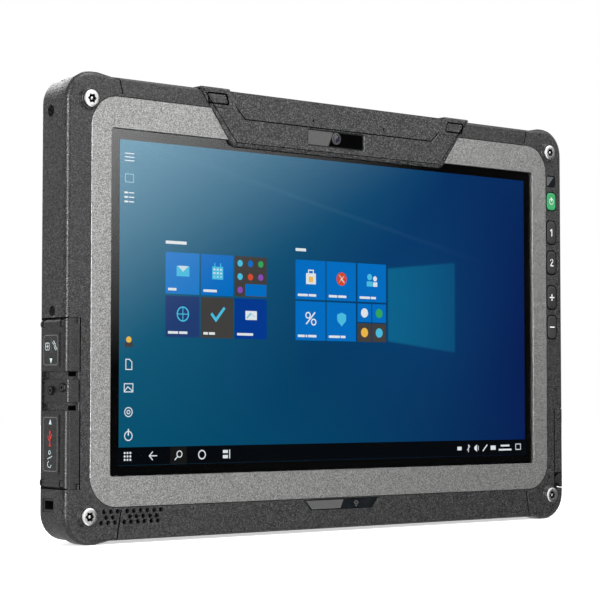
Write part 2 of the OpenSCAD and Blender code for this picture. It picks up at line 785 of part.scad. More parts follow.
module status_outline(extra) polygon([
    [-status_low_w / 2 - extra, status_z[0] - extra], [status_low_w / 2 + extra, status_z[0] - extra],
    [status_high_w / 2 + extra, status_z[1] + extra], [-status_high_w / 2 - extra, status_z[1] + extra]]);

module status_window() color("#101113") slab(face_y + 0.1, flange_y) status_outline(0);

module status_board() color("#1d4a35") {
    box([-26, 26], [flange_y, flange_y + 0.8], [status_z[0] - 3, status_z[1] - 0.2]);
    for (x = [-12, -1.5, 9]) box([x - 1, x + 1], [flange_y + 0.7, flange_y + 1.5],
        [status_z[0] + 1, status_z[0] + 3]);
}

// ---- Side doors and what lies behind them ----

module upper_port_door() color("#2f3032") at_upper() door(upper_door_l, upper_door_l);
module upper_door_gasket() color("#101010") at_upper() door_seal(upper_door_l);
module upper_door_pin() color("#b8babb") at_upper() door_pin();

module lower_port_door() color("#2f3032") at_lower() door(lower_door_l, lower_door_l);
module lower_door_gasket() color("#101010") at_lower() door_seal(lower_door_l);
module lower_door_pin() color("#b8babb") at_lower() door_pin();

module media_door() color("#2f3032") at_media() door(media_door_l, media_lip_l);
module media_door_gasket() color("#101010") at_media() door_seal(media_door_l);
module media_door_pin() color("#b8babb") at_media() door_pin();

module port_block() color("#262729") difference() {
    union() {
        box([-pocket_x - block_t, -pocket_x], [face_y + 0.4, wall_back_y - 0.5], block_z);
        box([-pocket_x - block_t, -side_x + lip_w - 0.2], [face_y + 0.4, flange_y], block_z);
    }
    for (s = block_screws) rod_x(s[0], s[1], 0.8, -side_x, -inner_x);
    box([-side_x, -pocket_x - block_t + 0.3], [block_screws[1][0] - 1, block_screws[0][0] + 1],
        [block_screws[0][1] - 0.5, block_screws[1][1] + 0.5]);
}

module port_block_screws() color("#8d9092") for (s = block_screws) {
    rod_x(s[0], s[1], 2, -pocket_x - block_t - 0.8, -pocket_x - block_t + 0.0);
    rod_x(s[0], s[1], 0.75, -pocket_x - block_t - 0.1, -inner_x);
}

port_face_x = inner_x - 0.1;
port_depth = 10;

module port_board() color("#1d4a35")
    box([-port_face_x + port_depth, -port_face_x + port_depth + 1.2], [port_y[0], port_y[1]], [30, 94]);

usb_c_z = [upper_hinge_z - 8.4, upper_hinge_z - 13.2];
port_mid_y = (port_y[0] + port_y[1]) / 2;

module usb_c_ports() color("#9a9da0") for (z = usb_c_z) difference() {
    box([-port_face_x, -port_face_x + port_depth], [port_mid_y - 4.6, port_mid_y + 4.6], [z - 1.8, z + 1.8]);
    box([-port_face_x - eps, -port_face_x + 6], [port_mid_y - 4.2, port_mid_y - 4.2 + 8.4], [z - 1.3, z - 0.35]);
    box([-port_face_x - eps, -port_face_x + 6], [port_mid_y - 4.2, port_mid_y - 4.2 + 8.4], [z + 0.35, z + 1.3]);
    box([-port_face_x - eps, -port_face_x + 1], [port_mid_y - 4.2, port_mid_y + 4.2], [z - 1.3, z + 1.3]);
}

usb_a_z = lower_hinge_z + 9.4;
jack_z = lower_hinge_z + 22;
jack_r = 1.75;

module usb_a_port() color("#9a9da0") difference() {
    box([-port_face_x, -port_face_x + port_depth], [port_mid_y - 3, port_mid_y + 3], [usb_a_z - 4.6, usb_a_z + 6.6]);
    box([-port_face_x - eps, -port_face_x + 8], [port_mid_y - 2.5, port_mid_y + 0.2], [usb_a_z - 4.1, usb_a_z + 6.1]);
    box([-port_face_x - eps, -port_face_x + 8], [port_mid_y + 2.1, port_mid_y + 2.5], [usb_a_z - 4.1, usb_a_z + 6.1]);
    box([-port_face_x - eps, -port_face_x + 2], [port_mid_y - 2.5, port_mid_y + 2.5], [usb_a_z - 4.1, usb_a_z + 6.1]);
}

module headset_jack() color("#1a1a1b") difference() {
    box([-port_face_x, -port_face_x + port_depth], [port_mid_y - 3.2, port_mid_y + 3.2], [jack_z - 3.2, jack_z + 3.2]);
    rod_x(port_mid_y, jack_z, jack_r, -port_face_x - eps, -port_face_x + 9);
}

module card_reader() color("#9a9da0") difference() {
    box([port_face_x - 9, port_face_x], [port_mid_y - 2, port_mid_y + 2], [media_hinge_z + 6, media_hinge_z + 35]);
    box([port_face_x - 8, port_face_x + eps], [port_mid_y - 1.2, port_mid_y + 1.2],
        [media_hinge_z + 7.5, media_hinge_z + 33.5]);
}

module lock_slot() color("#7c7f82") difference() {
    box([-side_x + 0.3, -inner_x], [lock_y - lock_plate[0] / 2 + 0.05, lock_y + lock_plate[0] / 2 - 0.05],
        [lock_z - lock_plate[1] / 2 + 0.05, lock_z + lock_plate[1] / 2 - 0.05]);
    box([-side_x - eps, -inner_x + eps], [lock_y - lock_size[0] / 2, lock_y + lock_size[0] / 2],
        [lock_z - lock_size[1] / 2, lock_z + lock_size[1] / 2]);
}

// ---- Inner pieces ----

module speaker() color("#18191a") difference() {
    box(speaker_x, [flange_y, frame_y], [8, bezel_low_z - 0.6]);
    box([speaker_x[0] + 1, speaker_x[1] - 1], [flange_y - eps, flange_y + 0.6], [8.4, bezel_low_z - 0.9]);
}

module main_board() color("#17402f") difference() {
    union() {
        box([-125, 125], [board_y, board_back_y], [22, 186]);
        box([-16, 16], [board_back_y - 0.1, board_back_y + 1], [132, 164]);     // processor
        for (x = [-44, 28]) box([x, x + 14], [board_back_y - 0.1, board_back_y + 1], [136, 150]);
        for (x = [-96, 84]) box([x, x + 10], [board_back_y - 0.1, board_back_y + 1.4], [60, 76]);
        for (s = [-1, 1]) box([s * battery_mid_x - 10, s * battery_mid_x + 10],
            [board_back_y - 0.1, board_back_y + 1.6], [battery_low_z + 2, battery_low_z + 8]);
    }
}

module heat_spreader() color("#b3673c") {
    box([-20, 20], [board_back_y + 1, board_back_y + 2.6], [130, 166]);
    rod_x(board_back_y + 4.4, 148, 2, -70, 70);
}

module ssd_module() color("#20232a")
    box([50, 72], [board_back_y, board_back_y + 2.2], [118, 176]);

module wireless_card() color("#20232a")
    box([-110, -88], [board_back_y, board_back_y + 1.8], [124, 154]);

module rear_camera() color("#101113") {
    box([-75, -53], [wall_back_y - 4.5, wall_back_y], [tablet_h - 36, tablet_h - 26]);
    rod_y(-70, tablet_h - 31, 3, wall_back_y - 1, wall_back_y + 0.9);
    rod_y(-58, tablet_h - 31, 1.6, wall_back_y - 1, wall_back_y + 1.2);
}

module rear_camera_window() color("#0b0c0e")
    rod_y(-70, tablet_h - 31, 4.5, wall_back_y + 1, back_y - 0.3);

module dock_connector() color("#26282b") {
    box([-dock_x + 0.05, dock_x - 0.05], [dock_y[0] + 0.05, dock_y[1] - 0.05], [rail_low_z + 0.5, inner_low_z + 3]);
    for (i = [-6:6]) rod_z(i * 3, (dock_y[0] + dock_y[1]) / 2, 0.9, rail_low_z + 0.2, rail_low_z + 0.6);
}

module antennas() color("#c9a24b") mirror_pair()
    box([-122, -92], [frame_back_y, frame_back_y + 7], [inner_top_z - 4, inner_top_z - 1]);

left_end_cap();
right_end_cap();
top_rail();
bottom_rail();
front_bezel();
camera_bar();
bar_plugs();
camera_window();
front_camera();
camera_board();
touch_glass();
lcd_panel();
display_gasket();
display_cable();
mid_frame();
rear_cover();
battery_left();
battery_right();
latch_left();
latch_right();
corner_screws();
rear_screws();
strap_inserts();
power_button();
function_key_1();
function_key_2();
plus_key();
minus_key();
key_board();
light_sensor_window();
status_window();
status_board();
upper_port_door();
upper_door_gasket();
upper_door_pin();
lower_port_door();
lower_door_gasket();
lower_door_pin();
media_door();
media_door_gasket();
media_door_pin();
port_block();
port_block_screws();
port_board();
usb_c_ports();
usb_a_port();
headset_jack();
card_reader();
lock_slot();
speaker();
main_board();
heat_spreader();
ssd_module();
wireless_card();
rear_camera();
rear_camera_window();
dock_connector();
antennas();
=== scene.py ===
import bmesh
import bpy
import json
import math
from mathutils import Matrix, Vector

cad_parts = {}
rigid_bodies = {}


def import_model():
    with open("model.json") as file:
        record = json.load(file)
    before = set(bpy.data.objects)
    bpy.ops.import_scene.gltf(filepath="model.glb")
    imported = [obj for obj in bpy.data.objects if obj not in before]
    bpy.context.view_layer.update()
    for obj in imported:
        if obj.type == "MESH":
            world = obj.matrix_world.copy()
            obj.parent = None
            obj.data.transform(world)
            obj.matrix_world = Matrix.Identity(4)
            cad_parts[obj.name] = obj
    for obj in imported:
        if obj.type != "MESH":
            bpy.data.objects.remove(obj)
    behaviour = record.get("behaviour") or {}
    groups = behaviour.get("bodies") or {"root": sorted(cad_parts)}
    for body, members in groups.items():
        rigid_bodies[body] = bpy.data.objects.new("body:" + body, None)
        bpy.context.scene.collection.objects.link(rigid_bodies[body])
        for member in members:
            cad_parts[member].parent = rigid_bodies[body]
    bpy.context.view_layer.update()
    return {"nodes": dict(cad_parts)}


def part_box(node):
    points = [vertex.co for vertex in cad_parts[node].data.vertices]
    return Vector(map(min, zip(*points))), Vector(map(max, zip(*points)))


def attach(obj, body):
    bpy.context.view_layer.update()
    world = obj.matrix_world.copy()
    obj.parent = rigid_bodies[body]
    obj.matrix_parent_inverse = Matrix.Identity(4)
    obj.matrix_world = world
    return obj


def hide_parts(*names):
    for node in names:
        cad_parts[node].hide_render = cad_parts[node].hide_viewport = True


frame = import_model()
mm = 0.001
print("frame loaded,", len(frame["nodes"]), "nodes")


# where a CAD node lies, in millimetres: (low x, y, z), (high x, y, z)
def reach(node):
    low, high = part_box(node)
    return [value / mm for value in low], [value / mm for value in high]


# the main planes and edges, all read from the frame
bezelLow, bezelHigh = reach("front_bezel")
glassLow, glassHigh = reach("touch_glass")
lcdLow, lcdHigh = reach("lcd_panel")
capHigh = reach("left_end_cap")[1]
coverLow, coverHigh = reach("rear_cover")
barLow, barHigh = reach("camera_bar")
place = {"faceY": bezelLow[1], "flangeY": bezelHigh[1], "glassY": glassLow[1], "wallBackY": capHigh[1],
    "backY": coverHigh[1], "sideX": coverHigh[0], "topZ": capHigh[2], "midZ": capHigh[2] / 2,
    "railTopZ": coverHigh[2], "railLowZ": coverLow[2],}


# outlines, flat lists of points in millimetres, counter-clockwise

def roundedPolygon(corners, radius=0.0, steps=5):
    points = []
    for index, corner in enumerate(corners):
        before = Vector(corners[index - 1][:2])
        here = Vector(corner[:2])
        after = Vector(corners[(index + 1) % len(corners)][:2])
        r = corner[2] if len(corner) > 2 else radius
        if r <= 0:
            points.append(here)
            continue
        toBefore = (before - here).normalized()
        toAfter = (after - here).normalized()
        half = toBefore.angle(toAfter) / 2
        centre = here + (toBefore + toAfter).normalized() * (r / math.sin(half))
        first = here + toBefore * (r / math.tan(half)) - centre
        last = here + toAfter * (r / math.tan(half)) - centre
        start = math.atan2(first.y, first.x)
        sweep = math.remainder(math.atan2(last.y, last.x) - start, 2 * math.pi)
        for k in range(steps + 1):
            angle = start + sweep * k / steps
            points.append(centre + Vector((math.cos(angle), math.sin(angle))) * r)
    return points


def roundedBox(u0, u1, v0, v1, radius=0.0, steps=5):
    return roundedPolygon([(u0, v0), (u1, v0), (u1, v1), (u0, v1)], radius, steps)


def disc(u, v, radius, steps=32):
    return [Vector((u + radius * math.cos(2 * math.pi * k / steps),
        v + radius * math.sin(2 * math.pi * k / steps))) for k in range(steps)]


def grow(outline, distance):
    grown = []
    for index, here in enumerate(outline):
        step = distance[index] if isinstance(distance, list) else distance
        incoming = here - outline[index - 1]
        outgoing = outline[(index + 1) % len(outline)] - here
        first = Vector((incoming.y, -incoming.x)).normalized()
        second = Vector((outgoing.y, -outgoing.x)).normalized()
        middle = (first + second).normalized()
        grown.append(here + middle * (step / max(middle.dot(first), 0.35)))
    return grown


# meshes

def makeObject(name, vertices, faces):
    mesh = bpy.data.meshes.new(name)
    mesh.from_pydata([Vector(v) * mm for v in vertices], [], faces)
    edit = bmesh.new()
    edit.from_mesh(mesh)
    bmesh.ops.recalc_face_normals(edit, faces=edit.faces)
    edit.to_mesh(mesh)
    edit.free()
    obj = bpy.data.objects.new(name, mesh)
    bpy.context.scene.collection.objects.link(obj)
    return obj


def loft(name, rings):
    count = len(rings[0])
    vertices = [point for ring in rings for point in ring]
    faces = [list(range(count)), [count * (len(rings) - 1) + k for k in range(count)]]
    for row in range(len(rings) - 1):
        for k in range(count):
            a, b = row * count + k, row * count + (k + 1) % count
            faces.append([a, b, b + count, a + count])
    return makeObject(name, vertices, faces)


def onAxis(axis, u, v, along):
    return {"x": (along, u, v), "y": (u, along, v), "z": (u, v, along)}[axis]


# a solid of one outline, grown or shrunk at each place along the axis
def prism(name, outline, stations, axis="y"):
    rings = []
    for along, growth in stations:
        ring = grow(outline, growth) if growth else outline
        rings.append([onAxis(axis, u, v, along) for u, v in ring])
    return loft(name, rings)


# a solid turned about a line along the axis: profile of (radius, place)
def lathe(name, u, v, profile, axis="y", steps=40):
    rings = [[onAxis(axis, *point, along) for point in disc(u, v, max(radius, 0.001), steps)]
        for radius, along in profile]
    return loft(name, rings)


def block(name, x, y, z):
    return prism(name, roundedBox(x[0], x[1], z[0], z[1]), [(y[0], 0), (y[1], 0)])


def settle(obj):
    graph = bpy.context.evaluated_depsgraph_get()
    mesh = bpy.data.meshes.new_from_object(obj.evaluated_get(graph))
    obj.modifiers.clear()
    old = obj.data
    obj.data = mesh
    mesh.name = obj.name
    bpy.data.meshes.remove(old)
    return obj


def combine(target, others, operation):
    for other in others:
        step = target.modifiers.new("step", "BOOLEAN")
        step.operation = operation
        step.object = other
        step.solver = "EXACT"
    settle(target)
    for other in others:
        bpy.data.objects.remove(other)
    return target


def cut(target, *cutters):
    return combine(target, cutters, "DIFFERENCE")


def keep(target, *regions):
    return combine(target, regions, "INTERSECT")


def weld(target, *others):
    return combine(target, others, "UNION")


def duplicate(obj, name):
    copy = bpy.data.objects.new(name, obj.data.copy())
    bpy.context.scene.collection.objects.link(copy)
    return copy


# several solids as one mesh
def joined(name, parts):
    edit = bmesh.new()
    for part in parts:
        edit.from_mesh(part.data)
    mesh = bpy.data.meshes.new(name)
    edit.to_mesh(mesh)
    edit.free()
    for part in parts:
        bpy.data.objects.remove(part)
    obj = bpy.data.objects.new(name, mesh)
    bpy.context.scene.collection.objects.link(obj)
    return obj


# the last step for every piece: edges, shading, material and its body
def finish(obj, body, material, stands=(), bevel=0.0, sharp=32, segments=2):
    if bevel:
        edge = obj.modifiers.new("edge", "BEVEL")
        edge.width = bevel * mm
        edge.segments = segments
        edge.limit_method = "ANGLE"
        edge.angle_limit = math.radians(sharp)
        settle(obj)
    obj.data.polygons.foreach_set("use_smooth", [True] * len(obj.data.polygons))
    obj.data.set_sharp_from_angle(angle=math.radians(sharp))
    shade = obj.modifiers.new("shade", "WEIGHTED_NORMAL")
    shade.keep_sharp = True
    settle(obj)
    obj.data.materials.clear()
    obj.data.materials.append(material)
    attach(obj, body)
    if stands:
        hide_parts(*stands)
    return obj


# a CAD node's own shape, its doubled points merged and its flat faces dissolved
def easedCopy(node, name):
    mesh = frame["nodes"][node].data.copy()
    edit = bmesh.new()
    edit.from_mesh(mesh)
    bmesh.ops.remove_doubles(edit, verts=edit.verts, dist=0.002 * mm)
    bmesh.ops.dissolve_limit(edit, angle_limit=math.radians(1), verts=edit.verts, edges=edit.edges)
    edit.to_mesh(mesh)
    edit.free()
    obj = bpy.data.objects.new(name, mesh)
    bpy.context.scene.collection.objects.link(obj)
    return obj


# materials

class Shader:
    def __init__(self, name):
        self.material = bpy.data.materials.new(name)
        self.material.use_nodes = True
        self.tree = self.material.node_tree
        self.surface = self.tree.nodes["Principled BSDF"]
        self.place = self.tree.nodes.new("ShaderNodeTexCoord").outputs["Object"]

    def node(self, kind, inputs=None, **settings):
        made = self.tree.nodes.new("ShaderNode" + kind)
        for key, value in settings.items():
            setattr(made, key, value)
        for key, value in (inputs or {}).items():
            self.put(made.inputs[key], value)
        return made

    def put(self, socket, value):
        if isinstance(value, bpy.types.NodeSocket):
            self.tree.links.new(value, socket)
        else:
            for link in list(socket.links):
                self.tree.links.remove(link)
            socket.default_value = value

    def set(self, **values):
        for key, value in values.items():
            self.put(self.surface.inputs[key.replace("_", " ")], value)

    def noise(self, size, detail=2.0, rough=0.5):
        return self.node("TexNoise", {"Vector": self.place, "Scale": 1 / (size * mm),
            "Detail": detail, "Roughness": rough}).outputs["Fac"]

    def cells(self, size):
        return self.node("TexVoronoi", {"Vector": self.place, "Scale": 1 / (size * mm)})

    def ramp(self, factor, stops):
        made = self.node("ValToRGB", {"Fac": factor})
        ramp = made.color_ramp
        while len(ramp.elements) < len(stops):
            ramp.elements.new(0.5)
        for element, (at, colour) in zip(ramp.elements, stops):
            element.position = at
            element.color = (*colour, 1) if isinstance(colour, tuple) else (colour, colour, colour, 1)
        return made.outputs["Color"]

    def mix(self, factor, a, b):
        made = self.node("Mix", data_type="RGBA")
        self.put(made.inputs["Factor"], factor)
        for socket, value in ((made.inputs[6], a), (made.inputs[7], b)):
            self.put(socket, (*value, 1) if isinstance(value, tuple) else value)
        return made.outputs[2]

    def math(self, operation, a, b=0.0, c=0.0, clamp=False):
        made = self.node("Math", {0: a, 1: b, 2: c}, operation=operation, use_clamp=clamp)
        return made.outputs[0]

    def range(self, value, low, high, toLow=0.0, toHigh=1.0):
        made = self.node("MapRange", {"Value": value, "From Min": low, "From Max": high,
            "To Min": toLow, "To Max": toHigh})
        return made.outputs["Result"]

    def bump(self, height, depth, strength=1.0, below=None):
        inputs = {"Height": height, "Distance": depth * mm, "Strength": strength}
        if below is not None:
            inputs["Normal"] = below
        return self.node("Bump", inputs).outputs["Normal"]


# spark-eroded grain with fine light specks, as on the moulded casing
def grainedPlastic(name, look):
    s = Shader(name)
    fine = s.noise(look["grain"], 3.0, 0.7)
    cells = s.cells(look["speck"]).outputs
    split = s.node("SeparateColor", {"Color": cells["Color"]}).outputs
    cloud = s.noise(26, 3.0)
    tone = s.ramp(split[0], [(0.0, look["dark"]), (0.55, look["mid"]), (0.97, look["light"])])
    tone = s.mix(s.range(cloud, 0.35, 0.7, 0.0, 0.12), tone, look["worn"])
    s.set(Base_Color=tone, Roughness=s.range(split[1], 0.0, 1.0, look["rough"] - 0.1, look["rough"] + 0.1))
    s.set(Specular_IOR_Level=look["gloss"])
    normal = s.bump(cells["Distance"], look["depth"], 0.9)
    s.set(Normal=s.bump(fine, look["depth"] * 0.6, 0.7, normal))
    return s.material


# paint with fine metal flakes
def flakePaint(name, look):
    s = Shader(name)
    flakes = s.cells(look["flake"]).outputs["Color"]
    split = s.node("SeparateColor", {"Color": flakes}).outputs
    fine = s.noise(look["flake"] * 1.3, 2.0, 0.6)
    mixed = s.math("ADD", s.math("MULTIPLY", split[0], 0.55), s.math("MULTIPLY", fine, 0.6))
    tone = s.ramp(mixed, [(0.2, look["dark"]), (0.5, look["mid"]), (0.85, look["light"])])
    s.set(Base_Color=tone, Metallic=look["metal"], Roughness=s.range(split[1], 0, 1, 0.28, 0.44))
    s.set(Normal=s.bump(mixed, 0.05, 0.5))
    return s.material


def smoothPlastic(name, colour, rough=0.4, grain=0.35, depth=0.02, gloss=0.5):
    s = Shader(name)
    fine = s.noise(grain, 2.0)
    cloud = s.noise(14, 2.0)
    darker = tuple(c * 0.72 for c in colour)
    lighter = tuple(min(c * 1.25 + 0.004, 1) for c in colour)
    s.set(Base_Color=s.mix(s.range(cloud, 0.3, 0.7), darker, lighter))
    s.set(Roughness=s.range(fine, 0.3, 0.7, rough - 0.07, rough + 0.08), Specular_IOR_Level=gloss)
    s.set(Normal=s.bump(fine, depth, 0.6))
    return s.material


def metal(name, colour, rough=0.28):
    s = Shader(name)
    streaks = s.noise(0.6, 4.0, 0.7)
    cloud = s.noise(5, 2.0)
    darker = tuple(c * 0.7 for c in colour)
    s.set(Base_Color=s.mix(s.range(cloud, 0.3, 0.7), darker, colour), Metallic=1.0)
    s.set(Roughness=s.range(streaks, 0.3, 0.7, rough - 0.08, rough + 0.12))
    s.set(Normal=s.bump(streaks, 0.01, 0.4))
    return s.material


# ink or a light behind a legend
def printed(name, colour, glow=0.0, rough=0.45, gloss=0.3):
    s = Shader(name)
    fine = s.noise(0.5, 2.0)
    dimmer = tuple(c * 0.86 for c in colour)
    tone = s.mix(s.range(fine, 0.35, 0.65), dimmer, colour)
    s.set(Base_Color=tone, Roughness=s.range(fine, 0.3, 0.7, rough - 0.05, rough + 0.05))
    s.set(Specular_IOR_Level=gloss)
    if glow:
        s.set(Base_Color=(0, 0, 0, 1), Emission_Color=tone, Emission_Strength=glow, Specular_IOR_Level=0.0)
    return s.material


def smokedGlass(name, colour=(0.004, 0.005, 0.006), rough=0.06):
    s = Shader(name)
    smear = s.noise(9, 3.0)
    s.set(Base_Color=s.mix(s.range(smear, 0.3, 0.7), colour, tuple(c * 1.8 for c in colour)))
    s.set(Roughness=s.range(smear, 0.35, 0.75, rough, rough + 0.05), Specular_IOR_Level=0.5)
    return s.material


# clear glass: what lies behind shows through, and its face reflects
def clearGlass(name, look):
    s = Shader(name)
    smear = s.noise(30, 3.0)
    s.set(Base_Color=(*look["tint"], 1), IOR=look["ior"], Transmission_Weight=1.0)
    s.set(Roughness=s.range(smear, 0.35, 0.7, look["rough"], look["rough"] + 0.02))
    return s.material


# the picture's sky: pale at the upper left, deep blue at the right
def skyPicture(name, look):
    s = Shader(name)
    split = s.node("SeparateXYZ", {"Vector": s.place}).outputs
    across = s.range(split["X"], lcdLow[0] * mm, lcdHigh[0] * mm)
    up = s.range(split["Z"], lcdLow[2] * mm, lcdHigh[2] * mm)
    diagonal = s.math("ADD", s.math("MULTIPLY", across, 0.78), s.math("MULTIPLY", s.math("SUBTRACT", 1.0,
        up), 0.42))
    high = s.ramp(diagonal, look["high"])
    low = s.ramp(across, look["low"])
    tone = s.mix(s.math("POWER", up, 0.8), low, high)
    beam = s.math("SUBTRACT", s.math("MULTIPLY", across, 0.36), s.math("SUBTRACT", 1.0, up))
    lit = s.range(s.math("ABSOLUTE", beam), 0.0, 0.010, 0.028, 0.0)
    tone = s.mix(s.math("MULTIPLY", lit, s.range(across, 0.9, 0.5)), tone, (0.3, 0.7, 0.9))
    glowAt = s.node("VectorMath", {0: s.place, 1: look["glowSpot"]}, operation="DISTANCE")
    glow = s.range(glowAt.outputs["Value"], 0.0, 0.085, 0.20, 0.0)
    tone = s.mix(s.math("POWER", glow, 1.4), tone, look["glow"])
    # one slanted panel of light, soft at its edges
    along = s.range(split["X"], look["panelX"][0] * mm, look["panelX"][1] * mm)
    rise = s.math("ABSOLUTE", s.math("SUBTRACT", split["Z"], look["panelZ"] * mm))
    depthInside = s.math("SUBTRACT", s.math("MULTIPLY_ADD", along, 0.005, 0.0), rise)
    inside = s.range(s.math("ADD", depthInside, 0.0185), 0.0, 0.0012)
    sides = s.math("MULTIPLY", s.range(split["X"], look["panelX"][0] * mm, (look["panelX"][0] + 1) * mm),
        s.range(split["X"], look["panelX"][1] * mm, (look["panelX"][1] - 1) * mm))
    panel = s.math("MULTIPLY", s.math("MULTIPLY", inside, sides), s.range(along, 1.0, 0.0, 0.16, 0.34))
    tone = s.mix(panel, tone, look["panel"])
    s.set(Base_Color=(0, 0, 0, 1), Emission_Color=tone, Emission_Strength=look["strength"],
        Specular_IOR_Level=0.0)
    return s.material


casingLook = {"grain": 0.45, "speck": 0.40, "dark": (0.003, 0.003, 0.0032), "mid": (0.009, 0.009, 0.0092),
    "light": (0.050, 0.050, 0.0505), "worn": (0.012, 0.012, 0.0123), "rough": 0.32, "gloss": 0.42,
    "depth": 0.05}
bezelLook = {"flake": 0.31, "dark": (0.080, 0.080, 0.079), "mid": (0.205, 0.205, 0.202),
    "light": (0.44, 0.44, 0.432), "metal": 0.86}
glassLook = {"rough": 0.012, "tint": (0.98, 0.99, 0.99), "ior": 1.5}
skyLook = {"high": [(0.0, (0.035, 0.23, 0.36)), (0.3, (0.012, 0.13, 0.24)), (0.62, (0.001, 0.033, 0.135)),
    (1.0, (0.001, 0.012, 0.100))],
    "low": [(0.0, (0.0, 0.088, 0.165)), (0.45, (0.0, 0.060, 0.145)), (1.0, (0.001, 0.014, 0.100))],
    "glow": (0.01, 0.22, 0.55), "glowSpot": (0.052, -0.0083, 0.110), "panel": (0.006, 0.30, 0.52),
    "panelX": (31, 78), "panelZ": 109.7, "strength": 1.0}

casing = grainedPlastic("casing plastic", casingLook)
doorPlastic = grainedPlastic("door plastic", {**casingLook, "light": (0.022, 0.022, 0.0223), "depth": 0.03})
barPlastic = grainedPlastic("bar plastic", {**casingLook, "light": (0.075, 0.075, 0.076)})
bezelPaint = flakePaint("bezel paint", bezelLook)
keyPlastic = smoothPlastic("key plastic", (0.011, 0.011, 0.012), 0.38)
greenKey = smoothPlastic("green key", (0.014, 0.216, 0.072), 0.35)
blackRubber = smoothPlastic("black rubber", (0.012, 0.012, 0.012), 0.75, 0.5, 0.04, 0.3)
batteryPlastic = grainedPlastic("battery plastic", {**casingLook, "light": (0.06, 0.06, 0.061)})
latchPlastic = smoothPlastic("latch plastic", (0.50, 0.11, 0.02), 0.38)
blackPlastic = smoothPlastic("black plastic", (0.010, 0.010, 0.011), 0.35)
boardGreen = smoothPlastic("solder mask", (0.012, 0.10, 0.055), 0.3)
chipBlack = smoothPlastic("chip mould", (0.012, 0.012, 0.014), 0.5)
brightSteel = metal("bright steel", (0.66, 0.66, 0.655), 0.27)
blackSteel = metal("blackened steel", (0.10, 0.10, 0.105), 0.36)
castMetal = metal("cast magnesium", (0.36, 0.37, 0.38), 0.5)
goldMetal = metal("gold plating", (0.80, 0.56, 0.22), 0.26)
brassMetal = metal("brass", (0.66, 0.47, 0.18), 0.3)
copperMetal = metal("copper", (0.72, 0.33, 0.18), 0.32)
flexFilm = smoothPlastic("flex film", (0.45, 0.18, 0.03), 0.3)
darkWindow = smokedGlass("dark window")
lensGlass = smokedGlass("lens glass", (0.012, 0.010, 0.02), 0.03)
borderInk = printed("border ink", (0.0012, 0.0012, 0.0015), 0.0, 0.5, 0.0)
whiteInk = printed("white ink", (0.72, 0.72, 0.72))
greyInk = printed("grey ink", (0.10, 0.10, 0.10))
# grey ink for the painted reflections on the dark windows
reflectionInk = printed("shade ink", (0.060, 0.060, 0.059))
jointShade = printed("joint shade", (0.0012, 0.0012, 0.0012), 0.0, 0.9, 0.0)
paleInk = printed("pale ink", (0.42, 0.50, 0.52))
redInk = printed("red ink", (0.62, 0.03, 0.02))
screenGlass = clearGlass("screen glass", glassLook)
skyScreen = skyPicture("screen sky", skyLook)
print("materials made")


# casing

casingSizes = {"frontRound": 2.6, "railRound": 1.5, "backRound": 0.7, "skin": 0.012,
    "seamWidth": 0.9, "seamDepth": 1.1, "seamNear": 127.5, "seamFar": 130.2,
    "cornerRound": 13.5, "rearRound": 12.5}


# the casing's front outline with its swollen corners, a round size for each point
def frontOutline():
    side, rail, r = place["sideX"], place["railLowZ"], casingSizes["cornerRound"]
    foot, fade = side - r - 3, side - r - 10
    quarter = [(side - r + r * math.cos(a), r - r * math.sin(a))
        for a in [math.radians(90 * k / 14) for k in range(15)]]
    low = quarter + [(foot, 0), (fade + 3.5, rail / 2), (fade, rail)]
    weights = [1.0] * 16 + [0.5, 0.0]
    lowLeft = [(-x, z) for x, z in low]
    top = place["topZ"]
    chain = ([(p, w) for p, w in zip(lowLeft, weights)] + [(p, w) for p, w in zip(low[::-1], weights[::-1])]
        + [((x, top - z), w) for (x, z), w in zip(low, weights)]
        + [((-x, top - z), w) for (x, z), w in zip(low[::-1], weights[::-1])])
    outline = [Vector(p) for p, w in chain]
    rounds = [casingSizes["railRound"] + w * (casingSizes["frontRound"] - casingSizes["railRound"])
        for p, w in chain]
    return outline, rounds


def frontBlank(name, shrink):
    outline, rounds = frontOutline()
    outline = grow(outline, -shrink)
    rings = []
    for k in range(7):
        angle = math.radians(15 * k)
        ring = grow(outline, [-r * (1 - math.sin(angle)) for r in rounds])
        rings.append([(p.x, place["faceY"] + shrink + r * (1 - math.cos(angle)), p.y)
            for p, r in zip(ring, rounds)])
    rear = reach("camera_bar")[1][1]
    for y, growth in ((rear - 0.8, 0), (rear - 0.1, -0.25), (rear + 0.02, -0.7)):
        rings.append([(p.x, y, p.y) for p in grow(outline, growth)])
    return loft(name, rings)


def rearBlank(name, shrink):
    side, low, top = place["sideX"] - shrink, place["railLowZ"] + shrink, place["railTopZ"] - shrink
    outline = roundedBox(-side, side, low, top, casingSizes["rearRound"] - shrink, 12)
    slope = place["backY"] - place["wallBackY"]
    r = casingSizes["backRound"]
    stations = [(place["faceY"] + 4, 0), (place["wallBackY"] - r, 0), (place["wallBackY"] - 0.2, -0.08),
        (place["wallBackY"] + r * 0.8, -r * 0.8 - 0.1), (place["backY"] - r, -slope + r - 0.12),
        (place["backY"] - 0.16, -slope - 0.1), (place["backY"] - shrink, -slope - 0.55)]
    return prism(name, outline, stations)


def envelope(name):
    front = frontBlank(name, casingSizes["skin"])
    return weld(front, rearBlank(name + "Rear", casingSizes["skin"]))


# V-shaped cutter along a straight seam in the front face, from one point to another
def seamCutter(name, a, b, y, width, depth):
    a, b = Vector(a), Vector(b)
    side = Vector((b.y - a.y, a.x - b.x)).normalized() * width / 2
    rings = []
    for end in (a, b):
        rings.append([(end.x + side.x, y - 0.3, end.y + side.y), (end.x, y + depth, end.y),
            (end.x - side.x, y - 0.3, end.y - side.y)])
    return loft(name, rings)


